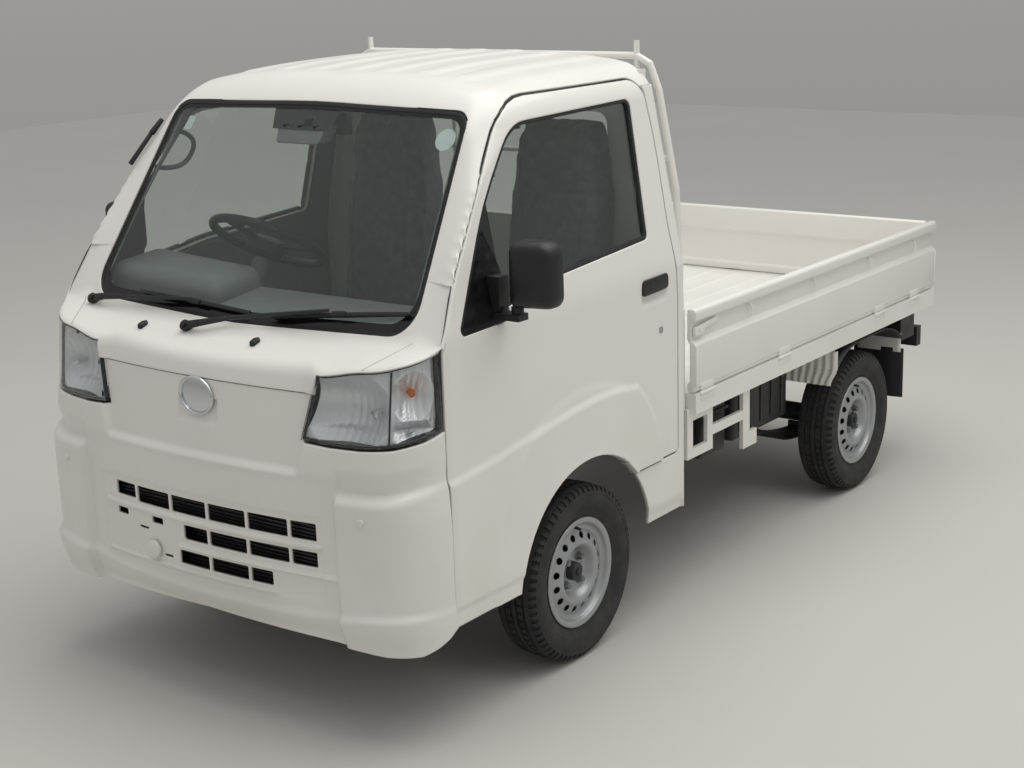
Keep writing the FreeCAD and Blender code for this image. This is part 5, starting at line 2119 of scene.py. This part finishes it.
class KEITRUCK_OT_seats(bpy.types.Operator):
    """Make the two seats: sewn cushion and high back, with seams pulled in"""
    bl_idname = "keitruck.seats"
    bl_label = "Seats"

    def execute(self, context):
        low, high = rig.box("driver_seat")
        middle = (low[0] + high[0]) / 2
        cushion = self.block((middle - 0.205, -0.900, 0.790), (middle + 0.205, -0.450, 0.884),
                             0.035)
        back = self.block((middle - 0.188, -0.462, 0.825), (middle + 0.188, -0.350, 1.548), 0.040)
        for vert in back.verts:
            share = (vert.co.z - 0.82) / 0.73
            vert.co.y += 0.062 * share - 0.012 * band(0.15, 0.45, 0.2, share)
            narrow = 1 - 0.10 * smooth(0.66, 0.80, share) - 0.22 * smooth(0.80, 1.0, share) ** 2
            vert.co.x = middle + (vert.co.x - middle) * narrow
        for vert in cushion.verts:
            vert.co.z += 0.018 * smooth(-0.70, -0.90, vert.co.y)
        cushion = swollen(cushion)
        back = swollen(back)
        for bm, upright in ((cushion, False), (back, True)):
            for vert in bm.verts:
                across = abs(vert.co.x - middle)
                press = 0.007 * math.exp(-((across - 0.118) / 0.006) ** 2)
                if upright:
                    facing = vert.normal.y < -0.3
                    press += 0.007 * math.exp(-((vert.co.z - 1.325) / 0.006) ** 2)
                    press *= facing
                else:
                    seam = math.exp(-((vert.co.y + 0.640) / 0.006) ** 2)
                    press += 0.006 * seam * (across < 0.118)
                    press *= vert.normal.z > 0.3
                if press:
                    vert.co -= vert.normal * press
            for vert in bm.verts:
                vert.co.z = min(max(vert.co.z, 0.7755), 1.572)
                vert.co.y = min(max(vert.co.y, -0.922), -0.319)
        for part, bm in (("cushion", cushion), ("back", back)):
            for side_name, shift in (("passenger", -2 * middle), ("driver", 0.0)):
                stands = (f"{side_name}_seat",) if part == "cushion" else ()
                pad = piece(f"{side_name}_seat_{part}", move(bm.copy(), (shift, 0, 0)), "cloth",
                            stands_for=stands, angle=60)
                smooth_step = pad.modifiers.new("smooth", "SUBSURF")
                smooth_step.levels = smooth_step.render_levels = 1
                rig.padded(pad, fill=0.8)
            bm.free()
        return {"FINISHED"}

    def block(self, low, high, bevel):
        """A soft-edged block with enough faces to bend."""
        bm = bmesh.new()
        bmesh.ops.create_cube(bm, size=1)
        bmesh.ops.subdivide_edges(bm, edges=bm.edges[:], cuts=11, use_grid_fill=True)
        low, high = Vector(low), Vector(high)
        bmesh.ops.scale(bm, vec=high - low, verts=bm.verts)
        return soften(move(bm, (low + high) / 2), bevel, 4, 60)


# ---- cab details: trims, grip, labels, aerial, panel seams and the instrument hood ----

class KEITRUCK_OT_cab_details(bpy.types.Operator):
    """Make the pillar trims, assist grip, plain labels, aerial and towing eye"""
    bl_idname = "keitruck.cab_details"
    bl_label = "Cab Details"

    def execute(self, context):
        trim = sheet(8, 40, (0, 1), (1.125, 1.630))

        def pillar(s, z):
            """Moulded cover behind the pillar, from the glass back to the door's frame."""
            front = screen_point(glass_half(z) - 0.026, z, -0.014)
            rear = Vector((side_x(z) - 0.047, gap_y(z) + 0.060, z))
            return front.lerp(rear, s) - Vector((0.014 * math.sin(math.pi * s), 0, 0))

        mapped(trim, pillar)
        panel("{side}_pillar_trim", trim, (-1, 0, 0), "cabin", wall=0.002)
        grip = pipe([(-0.614, -1.186, 1.440), (-0.575, -1.119, 1.423), (-0.575, -1.044, 1.492),
                     (-0.600, -1.055, 1.535), (-0.616, -1.100, 1.545)], 0.0075, 12)
        piece("assist_grip", grip, "cabin")
        up = Vector((0, SCREEN_RAKE, 1)).normalized()
        behind = -SCREEN_RECESS - 0.0056
        round_label = bmesh.new()
        bmesh.ops.create_circle(round_label, cap_ends=True, segments=48, radius=0.033)
        middle = screen_point(0.504, 1.576, behind)
        mapped(round_label, lambda a, b: middle + Vector((1, 0, 0)) * a + up * b)
        square = [(-0.502, 1.566, 0.003), (-0.472, 1.566, 0.003), (-0.466, 1.604, 0.003),
                  (-0.496, 1.604, 0.003)]
        square_label = on_screen((6, 6), (-0.51, -0.46), (1.56, 1.61), behind, rounded(square, 3))
        panel("plain_labels", merged([round_label, square_label]), (0, -1, 0.5), "label")
        self.aerial()
        eye = pipe([(0.600 + 0.017 * math.cos(turn), -1.583, 0.262 + 0.017 * math.sin(turn))
                    for turn in (math.tau * step / 10 for step in range(10))], 0.0045, 8, True)
        lug = slab((0.594, -1.590, 0.276), (0.606, -1.560, 0.330), 0.002)
        piece("towing_eye", merged([eye, lug]), "chassis")
        self.seams()
        return {"FINISHED"}

    def aerial(self):
        """Folded rod on the right pillar, just ahead of the door's gap."""
        at = lambda z, out: Vector((-(side_x(z) + out), gap_y(z) - 0.017, z))
        way = Vector((-1, 0, 0))
        parts = [strut(at(1.455, 0.003), at(1.548, 0.004), way, 0.012, 0.012, 0.002, 0.9),
                 strut(at(1.540, 0.002), at(1.582, -0.002), way, 0.014, 0.018, 0.003, 0.8)]
        piece("folded_aerial", merged(parts), "trim")

    def seams(self):
        """Fine joints between the hood and its corner pieces."""
        end = nose_arc(BUMPER_END_Y, 1.08)
        joint = sheet(1, 60, (-0.0009, 0.0009), (0, 1))

        def line(offset, t):
            """Follow the hood from the lamp's top edge to the corner of the windscreen."""
            a = (0.565 / end) * (1 - t) + 0.868 * t + offset
            runs = lengths(hood_line(a))
            share = (runs[0] + runs[1] * (0.03 + 0.95 * t)) / sum(runs)
            place = hood_skin(a, share)
            return place + Vector((0, -COWL_SLOPE, 1)).normalized() * 0.0004

        mapped(joint, line)
        outwards(joint, Vector((0, -0.5, 1)))
        panel("hood_corner_seams", merged([other_side(joint), joint]), None, "seal")


class KEITRUCK_OT_dashboard_details(bpy.types.Operator):
    """Make the instrument hood, vents, glove box and wheel pad of the dashboard"""
    bl_idname = "keitruck.dashboard_details"
    bl_label = "Dashboard Details"

    def execute(self, context):
        hood = slab((-0.640, -1.385, 1.070), (-0.190, -1.172, 1.190), 0.034, 5)
        for vert in hood.verts:
            vert.co.z -= 0.030 * smooth(-0.30, -0.19, vert.co.x) * (vert.co.z > 1.12)
            vert.co.z -= 0.020 * smooth(-1.30, -1.385, vert.co.y) * (vert.co.z > 1.12)
        piece("instrument_hood", hood, "cabin")
        face = (0, math.cos(0.35), math.sin(0.35))
        dials = [drum((x, -1.180, 1.135), face, radius, 0.012, 40, 0.003)
                 for x, radius in ((-0.440, 0.030), (-0.345, 0.044), (-0.250, 0.028))]
        for x in (-0.585, 0.585, 0.085, 0.175):
            dials.append(slab((x - 0.036, -1.168, 1.055), (x + 0.036, -1.118, 1.092), 0.006))
        dials.append(slab((-0.10, -1.165, 0.900), (0.24, -1.120, 1.040), 0.008))
        piece("dashboard_fittings", merged(dials), "trim")
        low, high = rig.box("steering_wheel")
        middle = (Vector(low) + Vector(high)) / 2
        axis = Vector((0, math.sin(math.radians(32)), math.cos(math.radians(32))))
        pad = ball((0.072, 0.066, 0.016), (0, 0, 0), 48, 24)
        turn = Vector((0, 0, 1)).rotation_difference(axis)
        bmesh.ops.rotate(pad, matrix=turn.to_matrix(), verts=pad.verts)
        piece("steering_wheel_pad", move(pad, middle - axis * 0.006), "cabin", "steering_wheel")
        return {"FINISHED"}


# ---- rear details: lamps, springs, latches, plate holder and the floor's ribs ----

FLOOR_RIBS, RIB_PITCH = 11, 0.124
FLUTE_PITCH = 0.006
# The leaf springs: number of leaves, how much shorter each is, its pitch and sheet, and the arch.
LEAVES, LEAF_STEP, LEAF_PITCH, LEAF_SHEET, LEAF_ARCH = 4, 0.115, 0.0085, 0.007, 0.150


class KEITRUCK_OT_rear_details(bpy.types.Operator):
    """Make the tail lamps, leaf springs, tailgate latches, plate holder and floor ribs"""
    bl_idname = "keitruck.rear_details"
    bl_label = "Rear Details"

    def execute(self, context):
        for name, side in SIDES:
            self.lamp(side, name)
            self.spring(name)
        self.tailgate()
        ribs = []
        low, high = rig.box("bed_floor")
        for index in range(FLOOR_RIBS):
            x = (index - FLOOR_RIBS // 2) * RIB_PITCH
            floor, crest = high[2] - 0.001, high[2] + 0.003
            section = rounded([(x - 0.022, floor, 0), (x + 0.022, floor, 0),
                               (x + 0.016, crest, 0.003), (x - 0.016, crest, 0.003)], 3)
            ribs.append(extruded(section, 1, low[1] + 0.060, high[1] - 0.090))
        piece("floor_ribs", merged(ribs), "paint")
        boxes = [slab((0.400, -0.070, 0.400), (0.665, 0.100, 0.592), 0.012, 3),
                 slab((0.360, 0.250, 0.370), (0.610, 0.660, 0.592), 0.018, 3)]
        for step in range(5):
            y = 0.290 + step * 0.078
            boxes.append(slab((0.604, y, 0.400), (0.6145, y + 0.020, 0.570), 0.003))
        boxes.append(slab((0.392, -0.078, 0.540), (0.672, 0.108, 0.552), 0.003))
        piece("under_boxes", merged(boxes), "trim")
        return {"FINISHED"}

    def lamp(self, side, name):
        """Black housing with red, amber and clear windows, each with moulded flutes."""
        low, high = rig.box(f"{name}_rear_lamp")
        housing = slab(low, (high[0], high[1] - 0.004, high[2]), 0.004)
        piece(f"{name}_rear_lamp_housing", housing, "trim", stands_for=(f"{name}_rear_lamp",))
        inner, outer = sorted((abs(low[0]), abs(high[0])))
        windows = (("red", "red_lens", 0.45, 1.0), ("amber", "amber_lens", 0.20, 0.45),
                   ("clear", "clear_lens", 0.0, 0.20))
        for label, look, first, last in windows:
            start = inner + 0.006 + (outer - inner - 0.012) * first
            stop = inner + 0.006 + (outer - inner - 0.012) * last - 0.002
            x = sorted((side * start, side * stop))
            flutes = [slab((x[0], high[1] - 0.009, low[2] + 0.006),
                           (x[1], high[1] - 0.0016, high[2] - 0.006), 0.003)]
            for step in range(int((high[2] - low[2] - 0.020) / FLUTE_PITCH)):
                z = low[2] + 0.011 + step * FLUTE_PITCH
                flutes.append(slab((x[0] + 0.004, high[1] - 0.003, z),
                                   (x[1] - 0.004, high[1] - 0.0006, z + 0.003), 0.001, 1))
            piece(f"{name}_rear_{label}_window", merged(flutes), look)

    def spring(self, name):
        """Arched leaves clamped under the axle, with an eye in front and a shackle behind."""
        low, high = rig.box(f"{name}_leaf_spring")
        x = sorted((low[0], high[0]))
        middle, half = (low[1] + high[1]) / 2, (high[1] - low[1]) / 2
        leaves = []
        for index in range(LEAVES):
            reach = half - index * LEAF_STEP
            start = low[2] + 0.004 + (LEAVES - 1 - index) * LEAF_PITCH
            leaf = sheet(3, 40, x, (-reach, reach))
            for vert in leaf.verts:
                a, b = vert.co.x, vert.co.y
                vert.co = (a, middle + b, start + LEAF_ARCH * (b / half) ** 2)
            bmesh.ops.solidify(leaf, geom=leaf.faces[:], thickness=LEAF_SHEET)
            leaves.append(leaf)
        for y in (low[1], high[1]):
            leaves.append(drum((x[0], y, low[2] + 0.185), (1, 0, 0), 0.021, x[1] - x[0], 24, 0.002))
        for edge in (x[0] - 0.006, x[1]):
            leaves += [slab((edge, high[1] - 0.018, low[2] + 0.175),
                            (edge + 0.006, high[1] + 0.016, 0.455), 0.003),
                       slab((edge, low[1] - 0.022, low[2] + 0.165),
                            (edge + 0.006, low[1] + 0.022, 0.455), 0.003)]
        for offset in (-0.045, 0.045):
            leaves.append(slab((x[0] - 0.008, middle + offset - 0.006, low[2] - 0.010),
                               (x[1] + 0.008, middle + offset + 0.006, low[2] + 0.050), 0.003))
        piece(f"{name}_spring_leaves", merged(leaves), "chassis",
              stands_for=(f"{name}_leaf_spring",))

    def tailgate(self):
        """Corner latches and two rope hooks on the gate, plate holder under the bed."""
        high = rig.box("tailgate")[1]
        rear = high[1]
        fittings = []
        for side in (1, -1):
            x = side * (high[0] - 0.030)
            lever = Vector((x, rear - 0.012, high[2] - 0.066))
            fittings += [slab((x - 0.022, rear - 0.021, high[2] - 0.092),
                              (x + 0.022, rear - 0.011, high[2] - 0.050), 0.003),
                         strut(lever, lever + Vector((-side * 0.105, 0, 0.004)), (0, 1, 0), 0.020,
                               0.006, 0.002, 0.8)]
            for place in (0.22, 0.46):
                foot = Vector((side * place, rear - 0.018, high[2] - 0.062))
                fittings.append(rope_hook(foot, (0, 1, 0), (0.013, 0.014), 0.0030))
        piece("tailgate_fittings", merged(fittings), "paint", "tailgate")
        holder = [slab((-0.170, 1.6805, 0.452), (0.170, 1.6865, 0.508), 0.003)]
        holder += [slab((x - 0.022, 1.678, 0.470), (x + 0.022, 1.6905, 0.492), 0.004)
                   for x in (-0.105, 0.105)]
        holder += [slab((x - 0.020, 1.676, 0.512), (x + 0.020, 1.6925, 0.530), 0.005)
                   for x in (-0.130, 0.130)]
        piece("plate_holder", merged(holder), "trim")


# ---- stage ----

CAMERA_PLACE = (3.3796, -4.7757, 2.0910)
CAMERA_RIGHT = (0.8081, 0.5882, -0.0290)
CAMERA_UP = (-0.1261, 0.2209, 0.9671)
CAMERA_LENS = 60.0
FLOOR_HALF = 14.0
# Lamps: place, size in metres, power in watts, warmth of colour.
LAMPS = (
    ((1.2, 0.3, 6.0), 6.0, 225, "#FFFDF8"),
    ((5.5, -0.5, 3.6), 3.0, 12, "#FFFFFF"),
)


class KEITRUCK_OT_stage(bpy.types.Operator):
    """Set the floor, backdrop, soft lamps and camera"""
    bl_idname = "keitruck.stage"
    bl_label = "Stage"

    def execute(self, context):
        scene = context.scene
        bm = sheet(40, 40, *[(-FLOOR_HALF, FLOOR_HALF)] * 2)
        mesh = bpy.data.meshes.new("floor")
        bm.to_mesh(mesh)
        bm.free()
        floor = bpy.data.objects.new("floor", mesh)
        mesh.materials.append(material_of("floor"))
        scene.collection.objects.link(floor)
        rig.stage(floor)
        for index, (place, extent, power, warmth) in enumerate(LAMPS):
            lamp = bpy.data.lights.new(f"soft_lamp_{index}", "AREA")
            lamp.size = extent
            lamp.energy = power
            lamp.color = tint(warmth)[:3]
            holder = bpy.data.objects.new(lamp.name, lamp)
            holder.location = place
            aim = Vector((0, -0.4, 0.8)) - Vector(place)
            holder.rotation_euler = aim.to_track_quat("-Z", "Y").to_euler()
            scene.collection.objects.link(holder)
        world = bpy.data.worlds.new("studio")
        scene.world = world
        world.use_nodes = True
        tree = world.node_tree
        tree.nodes.clear()
        where = add(tree, "TexCoord").outputs["Generated"]
        height = add(tree, "SeparateXYZ", links={"Vector": where})
        share = span(tree, height.outputs["Z"], -0.1, 0.9, 0.0, 1.0)
        sky = spread(tree, share, 0.0, 1.0, tint("#B9B8B5"), tint("#FFFFFF"))
        air = add(tree, "Background", {"Strength": 0.62}, {"Color": sky})
        add(tree, "OutputWorld", links={"Surface": air.outputs[0]})
        view = bpy.data.cameras.new("camera")
        view.lens = CAMERA_LENS
        view.sensor_width = 36.0
        holder = bpy.data.objects.new("camera", view)
        right, up = Vector(CAMERA_RIGHT), Vector(CAMERA_UP)
        turn = Matrix((right, up, right.cross(up))).transposed()
        holder.matrix_world = Matrix.Translation(CAMERA_PLACE) @ turn.to_4x4()
        scene.collection.objects.link(holder)
        scene.camera = holder
        scene.view_settings.view_transform = "Standard"
        return {"FINISHED"}


# ---- panel and registration ----

OPERATORS = [value for name, value in list(globals().items()) if name.startswith("KEITRUCK_OT_")]


class KEITRUCK_PT_parts(bpy.types.Panel):
    """Lists the truck's makers"""
    bl_idname = "KEITRUCK_PT_parts"
    bl_label = "Kei Truck"
    bl_space_type = "VIEW_3D"
    bl_region_type = "UI"
    bl_category = "Kei Truck"

    def draw(self, context):
        for maker in OPERATORS:
            self.layout.operator(maker.bl_idname)


def register():
    for group in GROUPS.values():
        bpy.utils.register_class(group)
    for name, group in GROUPS.items():
        setattr(bpy.types.Scene, name, PointerProperty(type=group))
    for kind in (*OPERATORS, KEITRUCK_PT_parts):
        bpy.utils.register_class(kind)


def unregister():
    for kind in (KEITRUCK_PT_parts, *reversed(OPERATORS)):
        bpy.utils.unregister_class(kind)
    for name in GROUPS:
        delattr(bpy.types.Scene, name)
    for group in GROUPS.values():
        bpy.utils.unregister_class(group)


def main():
    """Make every piece in order and write the sizes before and after."""
    register()
    for maker in OPERATORS:
        family, _, name = maker.bl_idname.partition(".")
        getattr(getattr(bpy.ops, family), name)()
    with open("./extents.json", "w") as report:
        json.dump({"cad": [list(corner) for corner in CAD_BOX],
                   "visual": [list(corner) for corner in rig.bounds()]}, report)


if __name__ == "__main__":
    main()
